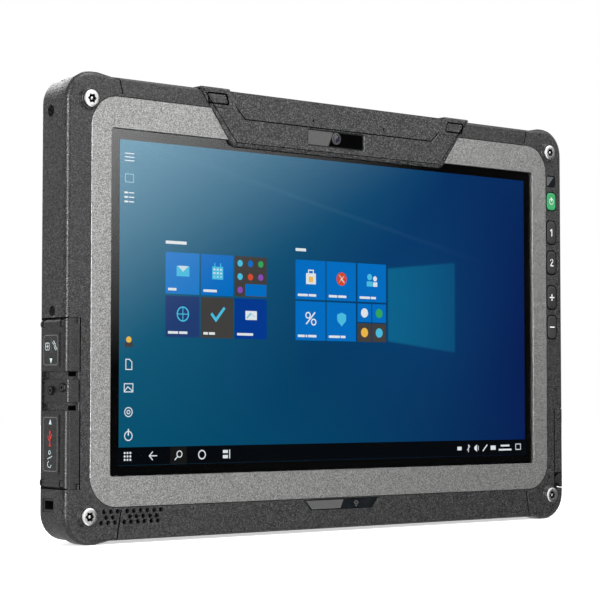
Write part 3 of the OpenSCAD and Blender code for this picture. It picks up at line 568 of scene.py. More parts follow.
def seamCut(side, upper):
    ends = ((bezelHigh[2] + 1, place["topZ"] + 1) if upper else (bezelLow[2] - 1, -1))
    c = casingSizes
    return seamCutter("seam", (side * c["seamNear"], ends[0]), (side * c["seamFar"], ends[1]), place["faceY"],
        c["seamWidth"], c["seamDepth"])


shellEnvelope = envelope("shellEnvelope")


def casingPiece(node, name):
    return keep(easedCopy(node, name), duplicate(shellEnvelope, name + "Blank"))


bossSizes = {"radius": 4.8, "front": -11.5, "back": -9.6, "bore": 4.05, "boreBack": -11.2, "ease": 0.55}


# raised round boss in a corner, with its screw seat
def cornerBoss(name, x, z):
    b = bossSizes
    outer = [(b["radius"] + 0.5, b["back"]), (b["radius"] + 0.35, b["back"] - 0.55),
        (b["radius"], b["back"] - 0.9), (b["radius"], b["front"] + b["ease"]),
        (b["radius"] - b["ease"] * 0.3, b["front"] + b["ease"] * 0.3),
        (b["radius"] - b["ease"], b["front"]), (b["bore"] + 0.25, b["front"]),
        (b["bore"], b["front"] + 0.2), (b["bore"] - 0.1, b["boreBack"] + 0.25), (1.7, b["boreBack"] + 0.25),
        (1.7, b["back"])]
    rings = [[(p.x, y, p.y) for p in disc(x, z, r, 40)] for r, y in outer]
    count = 40
    vertices = [p for ring in rings for p in ring]
    faces = []
    for row in range(len(rings)):
        after = (row + 1) % len(rings)
        for k in range(count):
            faces.append([row * count + k, row * count + (k + 1) % count,
                after * count + (k + 1) % count, after * count + k])
    return makeObject(name, vertices, faces)


screwX = 145.2
screwZ = (12.6, place["topZ"] - 12.6)
pieces = {}
for node, name, side in (("left_end_cap", "leftEndCap", -1), ("right_end_cap", "rightEndCap", 1)):
    cap = casingPiece(node, name)
    bosses = [cornerBoss(f"boss{side}{k}", side * screwX, z) for k, z in enumerate(screwZ)]
    capSeams = [seamCut(side, False), seamCut(side, True)]
    if side < 0:
        # deep dark gaps beside the port block
        capSeams += [block("gap", (-158, -149.2), (-11, -6.6), span) for span in ((58.4, 61.9), (71.9, 75.3))]
    cut(cap, *capSeams)
    pieces[name] = joined(name, [cap] + bosses)
    print(name, "made")
for node, name in (("top_rail", "topRail"), ("bottom_rail", "bottomRail"), ("rear_cover", "rearCover")):
    pieces[name] = casingPiece(node, name)
    if name.endswith("Rail"):
        cut(pieces[name], *[seamCut(side, name == "topRail") for side in (-1, 1)])
    print(name, "made")
bpy.data.objects.remove(shellEnvelope)
for name, node in (("leftEndCap", "left_end_cap"), ("rightEndCap", "right_end_cap"),
        ("topRail", "top_rail"), ("bottomRail", "bottom_rail")):
    finish(pieces[name], "tablet", casing, [node], sharp=28)
finish(pieces["rearCover"], "tablet", casing, ["rear_cover"], sharp=28)


# front frame and camera bar

frameSizes = {"openingRound": 1.5, "openingBevel": 0.12, "edgeBevel": 0.12, "barBevel": 1.5, "barCorner": 4.5}


def frontFrame():
    bezel = easedCopy("front_bezel", "frontFrame")
    x, z0, z1 = glassHigh[0] + 0.1, glassLow[2] - 0.1, glassHigh[2] + 0.1
    opening = roundedBox(-x, x, z0, z1, frameSizes["openingRound"])
    b = frameSizes["openingBevel"]
    mouth = prism("mouth", opening, [(place["faceY"] - 0.4, b + 0.4), (place["faceY"] + b, 0.001),
        (place["faceY"] + b + 0.2, 0.001)])
    edge = roundedBox(-bezelHigh[0], bezelHigh[0], bezelLow[2], bezelHigh[2], 14.0, 12)
    e = frameSizes["edgeBevel"]
    blank = prism("blank", edge, [(place["faceY"] + 0.01, -e - 0.18), (place["faceY"] + e, -0.2),
        (place["flangeY"] + 1, -0.2)])
    cut(bezel, mouth)
    keep(bezel, blank)
    return finish(bezel, "tablet", bezelPaint, ["front_bezel"], sharp=30)


frontFrame()
print("front frame made")

barSizes = {"lowHalf": 66.5, "kneeHalf": 79.0, "topHalf": 85.5, "seat": -9.06, "front": barLow[1],
    "shoulderBack": barHigh[1], "shoulderWidth": 17.0, "fieldHalf": (59.5, 64.0, 69.75)}


def cameraBar():
    s = barSizes
    low, knee, top = barLow[2], bezelHigh[2], place["railTopZ"]
    corners = [(-s["lowHalf"], low, frameSizes["barCorner"]), (s["lowHalf"], low, frameSizes["barCorner"]),
        (s["kneeHalf"], knee, 3.0), (s["topHalf"] + 1.5, top + 2, 0), (-s["topHalf"] - 1.5, top + 2, 0),
        (-s["kneeHalf"], knee, 3.0)]
    outline = roundedPolygon(corners, 0, 6)
    b = frameSizes["barBevel"]
    front = s["front"]
    plate = prism("cameraBar", outline, [(s["seat"], -0.02), (front + 0.75, -0.02), (front + 0.42, -0.12),
        (front + 0.12, -b + 0.35), (front + 0.01, -b)])
    # the plate ends at the top of the rail; only the two shoulders go over it
    trim = block("trim", (-200, 200), (-20, 5), (top, top + 5))
    cut(plate, trim)
    shoulders = []
    for side in (-1, 1):
        inner, outer = side * (s["topHalf"] - s["shoulderWidth"]), side * (s["topHalf"] - 0.02)
        x0, x1 = min(inner, outer), max(inner, outer)
        back = s["shoulderBack"] - 0.02
        endOutline = roundedPolygon([(front + 0.02, top - 0.3, 0), (back, top - 0.3, 0),
            (back, top + 0.98, 0.7), (front + 0.02, top + 0.98, 0.7)], 0, 4)
        # over the top rail, with the edge rounded both ways
        shoulders.append(prism(f"shoulder{side}", endOutline, [(x0, -0.5), (x0 + 0.15, -0.15), (x0 + 0.5, 0),
            (x1 - 0.5, 0), (x1 - 0.15, -0.15), (x1, -0.5)], "x"))
    halves = s["fieldHalf"]
    field = [Vector(p) for p in ((-halves[0], top - 12.5), (halves[0], top - 12.5), (halves[1], top - 8.3),
        (halves[2], top + 3), (-halves[2], top + 3), (-halves[1], top - 8.3))]
    recess = prism("recess", field, [(front - 0.5, 0.9), (front + 0.4, 0), (front + 0.401, 0)])
    windowX, windowZ = (-21.8, 14.0), (place["topZ"] - 22.5, place["topZ"] - 14.6)
    opening = prism("opening", roundedBox(*windowX, *windowZ, 1.1),
        [(front - 0.5, 0.95), (front + 0.45, 0.0), (-8, 0.0)])
    micHoles = [lathe("mic", x, place["topZ"] - 10.6, [(0.6, -8), (0.6, front + 0.55), (0.85, front + 0.2),
        (0.85, front - 1)], steps=20) for x in (-18, 27.2)]
    plugHoles = [prism("plugHole", roundedPolygon(plugCorners(side, 0.12), 0.8, 4),
        [(front - 0.5, 0.35), (front + 0.35, 0.0), (front + 1.3, 0.0)]) for side in (-1, 1)]
    # joint lines below the two shoulders
    joints = [seamCutter("joint", (side * 66, knee + 0.2), (side * 81, knee + 0.2), front, 0.5, 0.35)
        for side in (-1, 1)]
    bar = cut(plate, recess, opening, *micHoles, *joints)
    bar = weld(bar, *shoulders)
    bar = cut(bar, *plugHoles)
    return finish(bar, "tablet", barPlastic, ["camera_bar"], sharp=24)


def plugCorners(side, extra):
    corners = [(-6 - extra, -2.1 - extra), (4.6 + extra, -2.1 - extra), (6 + extra, 2.1 + extra),
        (-4.6 - extra, 2.1 + extra)]
    placed = [(side * (75.5 + u), place["topZ"] - 5.6 + v) for u, v in corners]
    return placed if side > 0 else placed[::-1]


cameraBar()
plugs = [prism("plug", roundedPolygon(plugCorners(side, 0), 0.8, 4),
    [(barSizes["front"] + 1.2, 0), (barSizes["front"] + 0.5, 0), (barSizes["front"] + 0.25, -0.12),
    (barSizes["front"] + 0.15, -0.45)]) for side in (-1, 1)]
finish(joined("barPlugs", plugs), "tablet", barPlastic, ["bar_plugs"], sharp=40)

windowLook = {"y": barSizes["front"] + 0.8, "lensX": -3.3, "lensZ": place["topZ"] - 18}
paneY = windowLook["y"]
pane = prism("cameraPane", roundedBox(-21.7, 13.9, place["topZ"] - 22.4, place["topZ"] - 14.7, 1.0),
    [(barSizes["seat"], 0), (paneY + 0.15, 0), (paneY, -0.15)])
finish(pane, "tablet", darkWindow, ["camera_window"])
lensRing = lathe("lensRing", windowLook["lensX"], windowLook["lensZ"],
    [(2.9, paneY + 0.03), (2.9, paneY - 0.05), (2.75, paneY - 0.08),
    (2.1, paneY - 0.08), (2.0, paneY - 0.01), (2.0, paneY + 0.03)])
finish(lensRing, "tablet", blackSteel)
lensDome = lathe("frontLens", windowLook["lensX"], windowLook["lensZ"],
    [(1.95, paneY + 0.02), (1.9, paneY - 0.05), (1.4, paneY - 0.16),
    (0.8, paneY - 0.22), (0.05, paneY - 0.24)])
finish(lensDome, "tablet", lensGlass, sharp=60)
# painted reflection: a grey patch over the camera window's left part, its slanted edge running across the
# lens
windowPaintZ = place["topZ"] - 22.0, place["topZ"] - 15.1
cameraReflection = prism("cameraShade", roundedPolygon([(-21.2, windowPaintZ[0]), (-8.6, windowPaintZ[0]), (-5.6, windowPaintZ[1]),
    (-21.2, windowPaintZ[1])], 0.5, 4),
    [(paneY + 0.02, 0), (paneY - 0.04, 0), (paneY - 0.06, -0.04)])
finish(cameraReflection, "tablet", reflectionInk)
# painted shade: a black sheet over the right part, where the window shows no reflection
cameraUnreflectedHalf = prism("windowBlind", roundedPolygon([(-8.2, windowPaintZ[0]), (13.4, windowPaintZ[0]), (13.4, windowPaintZ[1]),
    (-5.2, windowPaintZ[1])], 0.5, 4), [(paneY + 0.02, 0), (paneY - 0.03, 0)])
finish(cameraUnreflectedHalf, "tablet", jointShade)
print("camera bar made")

screwLook = {"headR": 3.9, "front": -12.25, "under": -11.25, "star": 2.25, "deep": 0.85}


# pan head with a six-pointed recess
def starScrew(name, x, z, front, under, radius, star, depth, sign=-1):
    d = abs(front - under)
    profile = [(radius, under), (radius, front + -sign * d * 0.45), (radius * 0.965, front - sign * d * 0.2),
        (radius * 0.88, front - sign * d * 0.05), (radius * 0.72, front), (0.05, front)]
    head = lathe(name, x, z, profile, steps=40)
    lobes = []
    for k in range(24):
        angle = 2 * math.pi * k / 24
        r = star * (0.86 + 0.14 * math.cos(6 * angle))
        lobes.append(Vector((x + r * math.cos(angle), z + r * math.sin(angle))))
    hole = prism("hole", lobes, [(front + sign * 0.5, 0.25), (front - sign * 0.08, 0.0),
        (front - sign * depth, 0.0)])
    cut(head, hole)
    post = lathe("post", x, z, [(star * 0.3, front - sign * (depth + 0.05)), (star * 0.3, front - sign * 0.3),
        (star * 0.2, front - sign * 0.2)], steps=16)
    return joined(name, [head, post])


heads = [starScrew(f"head{k}", side * screwX, z, screwLook["front"], screwLook["under"], screwLook["headR"],
    screwLook["star"], screwLook["deep"])
    for k, (side, z) in enumerate([(s, z) for s in (-1, 1) for z in screwZ])]
shanks = [lathe("shank", side * screwX, z, [(1.5, -11.3), (1.5, -3.0)], steps=20)
    for side in (-1, 1) for z in screwZ]
finish(joined("cornerScrews", heads + shanks), "tablet", brightSteel, ["corner_screws"],
    sharp=35)
# painted shade: black discs on the floors of the star recesses of the corner screws
recessShadeDiscs = [lathe("floor", side * screwX, z, [(screwLook["star"] * 0.92, -11.45),
    (screwLook["star"] * 0.92, -11.52)], steps=24) for side in (-1, 1) for z in screwZ]
finish(joined("screwRecesses", recessShadeDiscs), "tablet", jointShade, sharp=40)
print("corner screws made")

# sensor and status windows
sensor = reach("light_sensor_window")
pane = prism("lightSensor", roundedBox(sensor[0][0], sensor[1][0], sensor[0][2], sensor[1][2], 1.6),
    [(place["flangeY"], 0), (sensor[0][1] + 0.15, 0), (sensor[0][1], -0.15)])
finish(pane, "tablet", darkWindow, ["light_sensor_window"])
low, high = reach("status_window")
strip = prism("statusStrip", roundedPolygon([(-19.4, low[2]), (19.4, low[2]), (23.5, high[2]),
    (-23.5, high[2])], 0.7, 4), [(place["flangeY"], 0), (low[1] + 0.2, 0), (low[1], -0.2)])
finish(strip, "tablet", darkWindow, ["status_window"])
# painted reflections: pale grey patches with slanted edges over the left parts of the two windows
windowReflectionPatches = [prism("film", [Vector((sensor[0][0] + 0.5, sensor[0][2] + 0.8)),
    Vector((sensor[0][0] + 1.6, sensor[0][2] + 0.8)), Vector((sensor[1][0] - 1.2, sensor[1][2] - 0.8)),
    Vector((sensor[0][0] + 0.5, sensor[1][2] - 0.8))], [(sensor[0][1] + 0.1, 0), (sensor[0][1] - 0.03, 0)]),
    prism("film", [Vector((-18.6, low[2] + 0.4)), Vector((-0.8, low[2] + 0.4)),
    Vector((1.2, high[2] - 0.4)), Vector((-22.2, high[2] - 0.4))], [(low[1] + 0.1, 0), (low[1] - 0.03, 0)])]
finish(joined("windowFilms", windowReflectionPatches), "tablet", reflectionInk)
print("windows made")


# small drawings: bars, rings and dots as thin raised shapes

def closedRing(name, outer, inner, first, last, axis="y"):
    rings = [[onAxis(axis, u, v, along) for u, v in outline]
        for outline, along in ((outer, first), (outer, last), (inner, last), (inner, first))]
    count = len(outer)
    vertices = [p for ring in rings for p in ring]
    faces = [[row * count + k, row * count + (k + 1) % count,
        ((row + 1) % 4) * count + (k + 1) % count, ((row + 1) % 4) * count + k]
        for row in range(4) for k in range(count)]
    return makeObject(name, vertices, faces)


def drawing(name, marks, first, last, axis="y", spot=(0, 0), scale=1.0, flip=1):
    parts = []
    u0, v0 = spot

    def at(point):
        return Vector((u0 + flip * scale * point[0], v0 + scale * point[1]))

    for mark in marks:
        kind, data = mark[0], mark[1:]
        if kind == "line":
            points, width = data
            for a, b in zip(points, points[1:]):
                a, b = at(a), at(b)
                along = (b - a).normalized() * width * scale / 2
                across = Vector((-along.y, along.x))
                outline = [a - along - across, b + along - across, b + along + across, a - along + across]
                parts.append(prism(name, outline, [(first, 0), (last, 0)], axis))
        elif kind == "ring":
            centre, radius, width = data
            c = at(centre)
            parts.append(closedRing(name, disc(c.x, c.y, (radius + width / 2) * scale, 24),
                disc(c.x, c.y, (radius - width / 2) * scale, 24), first, last, axis))
        elif kind == "dot":
            centre, radius = data
            c = at(centre)
            parts.append(prism(name, disc(c.x, c.y, radius * scale, 20), [(first, 0), (last, 0)], axis))
        elif kind == "shape":
            outline = [at(p) for p in data[0]]
            parts.append(prism(name, outline, [(first, 0), (last, 0)], axis))
    return joined(name, parts)


def boxShape(u0, v0, u1, v1):
    return ("shape", [(u0, v0), (u1, v0), (u1, v1), (u0, v1)])


# screen

screenSizes = {"halfX": 128.15, "low": 34.1, "high": 178.3, "glassBack": -8.5, "inkY": (-8.46, -8.42),
    "pictureY": (-8.40, -8.33), "tileY": (-8.43, -8.40), "iconY": (-8.46, -8.43), "midZ": 106.2}
d = screenSizes
pane = prism("screenGlass", roundedBox(glassLow[0], glassHigh[0], glassLow[2], glassHigh[2], 1.4),
    [(d["glassBack"], 0), (place["glassY"] + 0.12, 0), (place["glassY"], -0.12)])
finish(pane, "tablet", screenGlass, ["touch_glass"])
picture = roundedBox(-d["halfX"], d["halfX"], d["low"], d["high"])
rim = closedRing("screenBorder", roundedBox(glassLow[0] + 0.05, glassHigh[0] - 0.05, glassLow[2] + 0.05,
    glassHigh[2] - 0.05), picture, *d["inkY"])
finish(rim, "tablet", borderInk)
sky = prism("screenSky", grow(picture, 0.3), [(d["pictureY"][0], 0), (d["pictureY"][1], 0)])
finish(sky, "tablet", skyScreen)

tileColours = {"blue": (0.0, 0.175, 0.61), "lightBlue": (0.012, 0.22, 0.66), "dark": (0.062, 0.058, 0.055),
    "dim": (0.009, 0.009, 0.009),
    "navy": (0.018, 0.052, 0.19), "royal": (0.0, 0.045, 0.32), "bar": (0.0005, 0.0015, 0.003),
    "white": (0.86, 0.90, 0.93), "cyan": (0.08, 0.58, 0.85), "amber": (0.95, 0.55, 0.08),
    "green": (0.04, 0.42, 0.12), "red": (0.75, 0.08, 0.03), "violet": (0.28, 0.08, 0.50),
    "haze": (0.30, 0.55, 0.68)}
screenInk = {name: printed("screen " + name, colour, 1.0) for name, colour in tileColours.items()}
shown = {name: [] for name in tileColours}


def show(ink, marks, spot=(0, 0), scale=1.0, layer="iconY"):
    first, last = d[layer]
    shown[ink].append(drawing("mark", marks, last, first, "y", (spot[0], d["midZ"] + spot[1]), scale))


# tiles as columns and rows, measured from the middle of the lit area
columns = {"left": [(-103.2, -84.3), (-83.4, -64.8), (-64.0, -45.1)], "right": [(-27.6, -9.0), (-8.3, 10.4),
    (11.5, 30.2)]}
rows = {"high": (4.5, 23.3), "low": (-15.0, 3.6)}
tiles = {("left", 0, "high"): "lightBlue", ("left", 1, "high"): "blue", ("left", 2, "high"): "dark",
    ("left", 0, "low"): "navy", ("left", 1, "low"): "dark", ("left", 2, "low"): "royal",
    ("right", 0, "high"): "blue", ("right", 1, "high"): "blue", ("right", 2, "high"): "blue",
    ("right", 0, "low"): "blue", ("right", 1, "low"): "blue"}
for (group, column, row), ink in tiles.items():
    (u0, u1), (v0, v1) = columns[group][column], rows[row]
    show(ink, [boxShape(u0, v0, u1, v1)], layer="tileY")


# a short row of small bars stands for each caption
def caption(u, v, lengths, height=1.15, ink="white"):
    marks = []
    for length in lengths:
        marks.append(boxShape(u, v, u + length, v + height))
        u += length + 0.55
    show(ink, marks)


icons = {"mail": {"cyan": [boxShape(-3.4, -2.4, 3.4, 2.0)], "white": [("shape", [(-3.0, 2.1), (0, -0.4),
    (3.0, 2.1)])]},
    "calendar": {"cyan": [boxShape(-3.0, -3.0, 3.0, 2.6), ("line", [(-1.6, 2.4), (-1.6, 3.9)], 0.5),
    ("line", [(1.6, 2.4), (1.6, 3.9)], 0.5)],
    "white": [boxShape(u, v, u + 1.0, v + 0.8) for u in (-2.3, -0.5, 1.3) for v in (-2.3, -0.7, 0.9)]},
    "globe": {"cyan": [("ring", (0, 0), 3.0, 0.6), ("line", [(-2.9, 0), (2.9, 0)], 0.4),
    ("line", [(0, -2.9), (0, 2.9)], 0.4)]},
    "tick": {"cyan": [("line", [(-3.0, 0.2), (-0.9, -2.1), (3.4, 2.9)], 1.3)]},
    "board": {"white": [boxShape(-3.2, -1.6, 3.2, 2.4)], "cyan": [("line", [(-2.2, -0.6), (-0.4, 1.1),
    (2.2, -0.2)], 0.7)]},
    "bag": {"white": [boxShape(-2.9, -3.1, 2.9, 1.9), ("line", [(-1.4, 1.7), (-1.4, 3.3), (1.4, 3.3),
    (1.4, 1.7)], 0.55)], "amber": [boxShape(-1.3, -2.2, 1.3, 0.4)]},
    "link": {"red": [("dot", (0, 0), 3.1)], "white": [("line", [(-1.4, -1.3), (0.2, 0.2), (-1.4, 1.6)], 0.6),
    ("line", [(1.5, 1.3), (0.0, -0.1), (1.5, -1.6)], 0.6)]},
    "people": {"cyan": [("dot", (-1.6, 1.6), 1.5), boxShape(-3.4, -2.8, 0.3, -0.4)],
    "white": [("dot", (1.8, 0.9), 1.2), boxShape(0.6, -2.8, 3.2, -0.7)]},
    "clip": {"white": [("line", [(-2.6, -2.4), (2.2, 2.6)], 0.7), ("ring", (-1.7, 1.4), 1.3, 0.6),
    ("ring", (1.6, -1.6), 1.3, 0.6)]},
    "shield": {"cyan": [("shape", [(0, -3.2), (2.7, -0.6), (2.7, 2.2), (0, 3.2), (-2.7, 2.2),
    (-2.7, -0.6)])]},}
placed = {("left", 0, "high"): "mail", ("left", 1, "high"): "calendar", ("left", 0, "low"): "globe",
    ("left", 1, "low"): "tick", ("left", 2, "low"): "board", ("right", 0, "high"): "bag",
    ("right", 1, "high"): "link", ("right", 2, "high"): "people", ("right", 0, "low"): "clip",
    ("right", 1, "low"): "shield"}
words = {"mail": [4.6], "calendar": [7.6], "globe": [5.6, 4.6], "tick": [2.6, 3.4], "board": [9.4],
    "bag": [6.2, 4.6], "link": [5.4, 5.2], "people": [6.6, 3.4], "clip": [4.2, 1.0, 5.2],
    "shield": [7.0, 3.0]}
for (group, column, row), icon in placed.items():
    (u0, u1), (v0, v1) = columns[group][column], rows[row]
    middle = ((u0 + u1) / 2 + 0.2, (v0 + v1) / 2 + 1.2)
    for ink, marks in icons[icon].items():
        show(ink, marks, middle, 1.05)
    caption(u0 + 1.4, v0 + 1.5, words[icon])
smallTiles = [(0, 2, "cyan"), (1, 2, "blue"), (2, 2, "green"), (0, 1, "cyan"), (1, 1, "red"),
    (2, 1, "violet"), (0, 0, "violet")]
u0, v1 = columns["left"][2][0], rows["high"][1]
for column, row, ink in smallTiles:
    show(ink, [("dot", (0, 0), 1.55)], (u0 + 3.1 + column * 6.1, v1 - 15.7 + row * 6.2))
show("blue", [boxShape(0, 0, 12.5, 5.6)], (u0 + 6.2, v1 - 18.4))
quarter = columns["right"][2][0]
for k, ink in enumerate(("blue", "green", "amber", "cyan")):
    column, row = k % 2, k // 2
    show("blue" if k < 2 else "dark", [boxShape(0, 0, 9.0, 9.0)], (quarter + column * 9.6,
        3.6 - 9.0 - row * 9.6), layer="tileY")
    show(ink if k else "white", [("dot", (0, 0), 2.3)], (quarter + 4.5 + column * 9.6, 3.6 - 4.5 - row * 9.6))
caption(-103.2, 27.0, [11.6], 1.4)
caption(-27.6, 27.4, [6.4], 1.4)

# the icon column at the left, and the strip of small icons at the bottom
left = -123.0
for v in (-1.6, 0, 1.6):
    show("white", [("line", [(-2.3, v), (2.3, v)], 0.42)], (left, 64.5))
show("haze", [("line", [(-2.2, -1.8), (2.2, -1.8), (2.2, 1.8), (-2.2, 1.8), (-2.2, -1.8)], 0.4)],
    (left, 55.1))
for v in (-2, 0, 2):
    show("white", [("line", [(-2.3, v), (-1.1, v)], 0.8), ("line", [(0.0, v), (2.3, v)], 0.5)], (left, 46.6))
show("amber", [("dot", (0, 0.9), 1.4)], (left, -17.5))
show("dark", [boxShape(-2.2, -2.4, 2.2, -0.4)], (left, -17.5))
show("white", [("line", [(-1.5, -2.2), (1.7, -2.2), (1.7, 1.1), (0.4, 2.3), (-1.5, 2.3), (-1.5, -2.2)],
    0.42)], (left, -27.6))
show("white", [("line", [(-2.3, -1.7), (2.3, -1.7), (2.3, 1.9), (-2.3, 1.9), (-2.3, -1.7)], 0.42),
    ("line", [(-2.0, -1.2), (-0.4, 0.6), (1.9, -1.2)], 0.42)], (left, -38.0))
show("white", [("ring", (0, 0), 2.0, 0.42), ("ring", (0, 0), 0.8, 0.42)], (left, -48.6))
show("white", [("ring", (0, 0), 2.0, 0.45), ("line", [(0, 0.4), (0, 2.8)], 0.6)], (left, -59.1))
show("bar", [boxShape(-128.1, -72.05, 128.1, -64.1)], layer="tileY")
for u, marks in {-123.4: [("dot", (1.5 * across, 1.5 * up), 0.5) for across in (-1, 0, 1) for up in (-1, 0,
        1)], -109.7: [("line", [(2.0, 0), (-2.0, 0)], 0.45), ("line", [(-0.3, -1.7), (-2.0, 0),
        (-0.3, 1.7)], 0.45)],
        -95.7: [("ring", (0.5, 0.5), 1.4, 0.45), ("line", [(-0.6, -0.6), (-1.9, -1.9)], 0.5)],
        -82.6: [("ring", (0, 0), 1.9, 0.55)],
        -68.6: [boxShape(-2.1, 0.5, 0.8, 1.9), boxShape(-2.1, -1.9, 0.8, -0.4),
        ("line", [(1.8, -1.8), (1.8, 1.8)], 0.5)], 80.3: [boxShape(-1.5, -0.9, 1.5, 0.9)],
        86.7: [("line", [(0, -1.8), (0, 1.8), (0.9, 0.9), (-0.9, -0.9)], 0.35)],
        92.5: [("shape", [(-1.6, -0.6), (0.3, -1.8), (0.3, 1.8), (-1.6, 0.6)]),
        ("line", [(1.2, -1), (1.2, 1)], 0.35)], 98.6: [("line", [(-1.4, -1.4), (1.4, 1.4)], 0.6)],
        104.5: [boxShape(-1.8, -1.1, 1.8, 1.1)],
        123.0: [("line", [(-1.8, -1.2), (1.8, -1.2), (1.8, 1.6), (-1.8, 1.6), (-1.8, -1.2)], 0.4)]}.items():
    show("white", marks, (u, -68.1))
show("dim", [boxShape(-4.6, -3.9, 4.6, 3.9)], (-95.7, -68.1), layer="tileY")
for v, width in ((0.5, 6.4), (-1.6, 9.4)):
    show("white", [boxShape(-width / 2, 0, width / 2, 0.9)], (113.3, -68.1 + v))
for name, parts in shown.items():
    finish(joined("screen-" + name, parts), "tablet", screenInk[name])
print("screen made")


# keys

keySizes = {"crown": 0.12, "edge": 0.3, "corner": 2.2}
keyMarks = {"power_button": [("line", [(0, 0.2), (0, 2.0)], 0.42),
    *[("line", [(1.5 * math.sin(math.radians(a)), 1.5 * math.cos(math.radians(a))),
    (1.5 * math.sin(math.radians(a + 30)), 1.5 * math.cos(math.radians(a + 30)))], 0.42)
    for a in range(30, 330, 30)]],
    "function_key_1": [("line", [(-0.9, 0.9), (0.2, 1.8), (0.2, -1.8)], 0.45)],
    "function_key_2": [("line", [(-1.0, 1.0), (-0.7, 1.6), (0.0, 1.8), (0.8, 1.5), (0.9, 0.8), (-1.1, -1.7),
    (1.1, -1.7)], 0.42)],
    "plus_key": [("line", [(-1.5, 0), (1.5, 0)], 0.5), ("line", [(0, -1.5), (0, 1.5)], 0.5)],
    "minus_key": [("line", [(-1.5, 0), (1.5, 0)], 0.5)],}
for node, marks in keyMarks.items():
    low, high = reach(node)
    ear = 0.8
    x0, x1, z0, z1 = low[0], high[0], low[2] + ear, high[2] - ear
    front = low[1]
    outline = roundedBox(x0 + 0.02, x1 - 0.02, z0 + 0.02, z1 - 0.02, keySizes["corner"], 7)
    key = prism(node.replace("_", "-"), outline,
        [(high[1], 0), (front + keySizes["edge"] + 0.08, 0), (front + keySizes["edge"] * 0.45, -0.09),
        (front + keySizes["crown"] * 0.9, -keySizes["edge"]), (front + keySizes["crown"] * 0.4, -0.9),
        (front + 0.02, -1.7)])
    material = greenKey if node == "power_button" else keyPlastic
    finish(key, node, material, [node], sharp=50)
    mark = drawing(node + "-mark", marks, front + 0.3, front, "y", ((x0 + x1) / 2, (z0 + z1) / 2))
    finish(mark, node, whiteInk)
print("keys made")

# side doors

doorLook = {"bevel": 0.18, "round": 2.4, "inkDepth": 0.05}


def sideMarks(name, body, marks, z, y, ink):
    face = -place["sideX"] - 0.4
    mark = drawing(name, marks, face + 0.25, face - doorLook["inkDepth"], "x", (y, z))
    return finish(mark, body, ink)


# takes the sharp outer arris off the front edge, along z
def arrisCutter(name, x, y, radius, side):
    corner = [(x + 2, y - 1), (x + 2, y + radius)]
    arc = [(x - radius + radius * math.cos(math.radians(a)), y + radius - radius * math.sin(math.radians(a)))
        for a in range(0, 91, 10)]
    outline = [Vector((side * u, v)) for u, v in corner + arc + [(x - radius, y - 1)]]
    return prism(name, outline, [(-5, 0), (215, 0)], "z")


def door(node, name, side):
    piece = easedCopy(node, name)
    cut(piece, arrisCutter("arris", place["sideX"], place["faceY"], doorLook["round"], side))
    return finish(piece, node, doorPlastic, [node], bevel=doorLook["bevel"], sharp=40)


def outlineFrame(u0, u1, v0, v1, width):
    return ("line", [(u0, v0), (u1, v0), (u1, v1), (u0, v1), (u0, v0)], width)


door("upper_port_door", "upperPortDoor", -1)
door("lower_port_door", "lowerPortDoor", -1)
door("media_door", "mediaDoor", 1)
# seen from the left, y runs towards the back, so a sign's u points to the back
upperPad, lowerPad = (-5.2, 8.4, 77.0, 92.2), (-5.2, 8.4, 31.0, 56.6)
for name, body, (y0, y1, z0, z1) in (("upperPadFrame", "upper_port_door", upperPad),
        ("lowerPadFrame", "lower_port_door", lowerPad)):
    frameLine = closedRing(name, [Vector(p) for p in roundedBox(y0 + 1.0, y1 - 1.0, z0 + 1.0, z1 - 1.0, 1.6,
        5)], roundedBox(y0 + 1.35, y1 - 1.35, z0 + 1.35, z1 - 1.35, 1.3, 5),
        -place["sideX"] - 0.2, -place["sideX"] - 0.43, "x")
    finish(frameLine, body, greyInk)
sideMarks("upperDoorSocket", "upper_port_door",
    [outlineFrame(-1.5, 1.5, -1.5, 1.5, 0.3), ("line", [(1.0, 0), (-0.7, 0)], 0.3),
    ("line", [(0.1, -0.7), (-0.7, 0), (0.1, 0.7)], 0.28)], 86.2, 4.3, paleInk)
sideMarks("upperDoorDivider", "upper_port_door", [("line", [(0, -2.8), (0, 3.6)], 0.2)], 86.4, 1.2, greyInk)
sideMarks("upperDoorBolt", "upper_port_door",
    [("line", [(1.5, 1.9), (-0.3, 0.2), (0.3, 0.0), (-1.3, -1.7)], 0.36),
    ("line", [(2.3, 1.3), (0.6, -0.3), (1.1, -0.5), (-0.3, -2.1)], 0.3)], 86.6, -2.2, paleInk)
sideMarks("upperDoorArrow", "upper_port_door", [("shape", [(-1.1, 1.0), (0, -1.3), (1.1, 1.0)])], 80.0, 1.3,
    paleInk)
sideMarks("lowerDoorArrow", "lower_port_door", [("shape", [(-1.1, -1.0), (1.1, -1.0), (0, 1.3)])], 53.4,
    1.6, paleInk)
sideMarks("lowerDoorPlug", "lower_port_door",
    [("line", [(0, -2.9), (0, 2.6)], 0.4), ("shape", [(-0.7, 2.2), (0.7, 2.2), (0, 3.5)]),
    ("dot", (0, -3.0), 0.65),
    ("line", [(0, -1.4), (1.4, -0.2), (1.4, 0.8)], 0.32), ("line", [(0, -0.4), (-1.4, 0.9),
    (-1.4, 1.6)], 0.32)], 46.4, 1.8, redInk)
sideMarks("lowerDoorHeadset", "lower_port_door",
    [("line", [(0.2, -3.9), (1.6, -3.4), (1.9, -2.0), (0.9, -1.2)], 0.32),
    ("line", [(1.9, -0.2), (-1.7, 1.0)], 0.3),
    ("ring", (0.2, 2.6), 0.75, 0.32), ("line", [(-1.0, -2.9), (-0.4, -3.9)], 0.32)], 37.6, 1.8, paleInk)
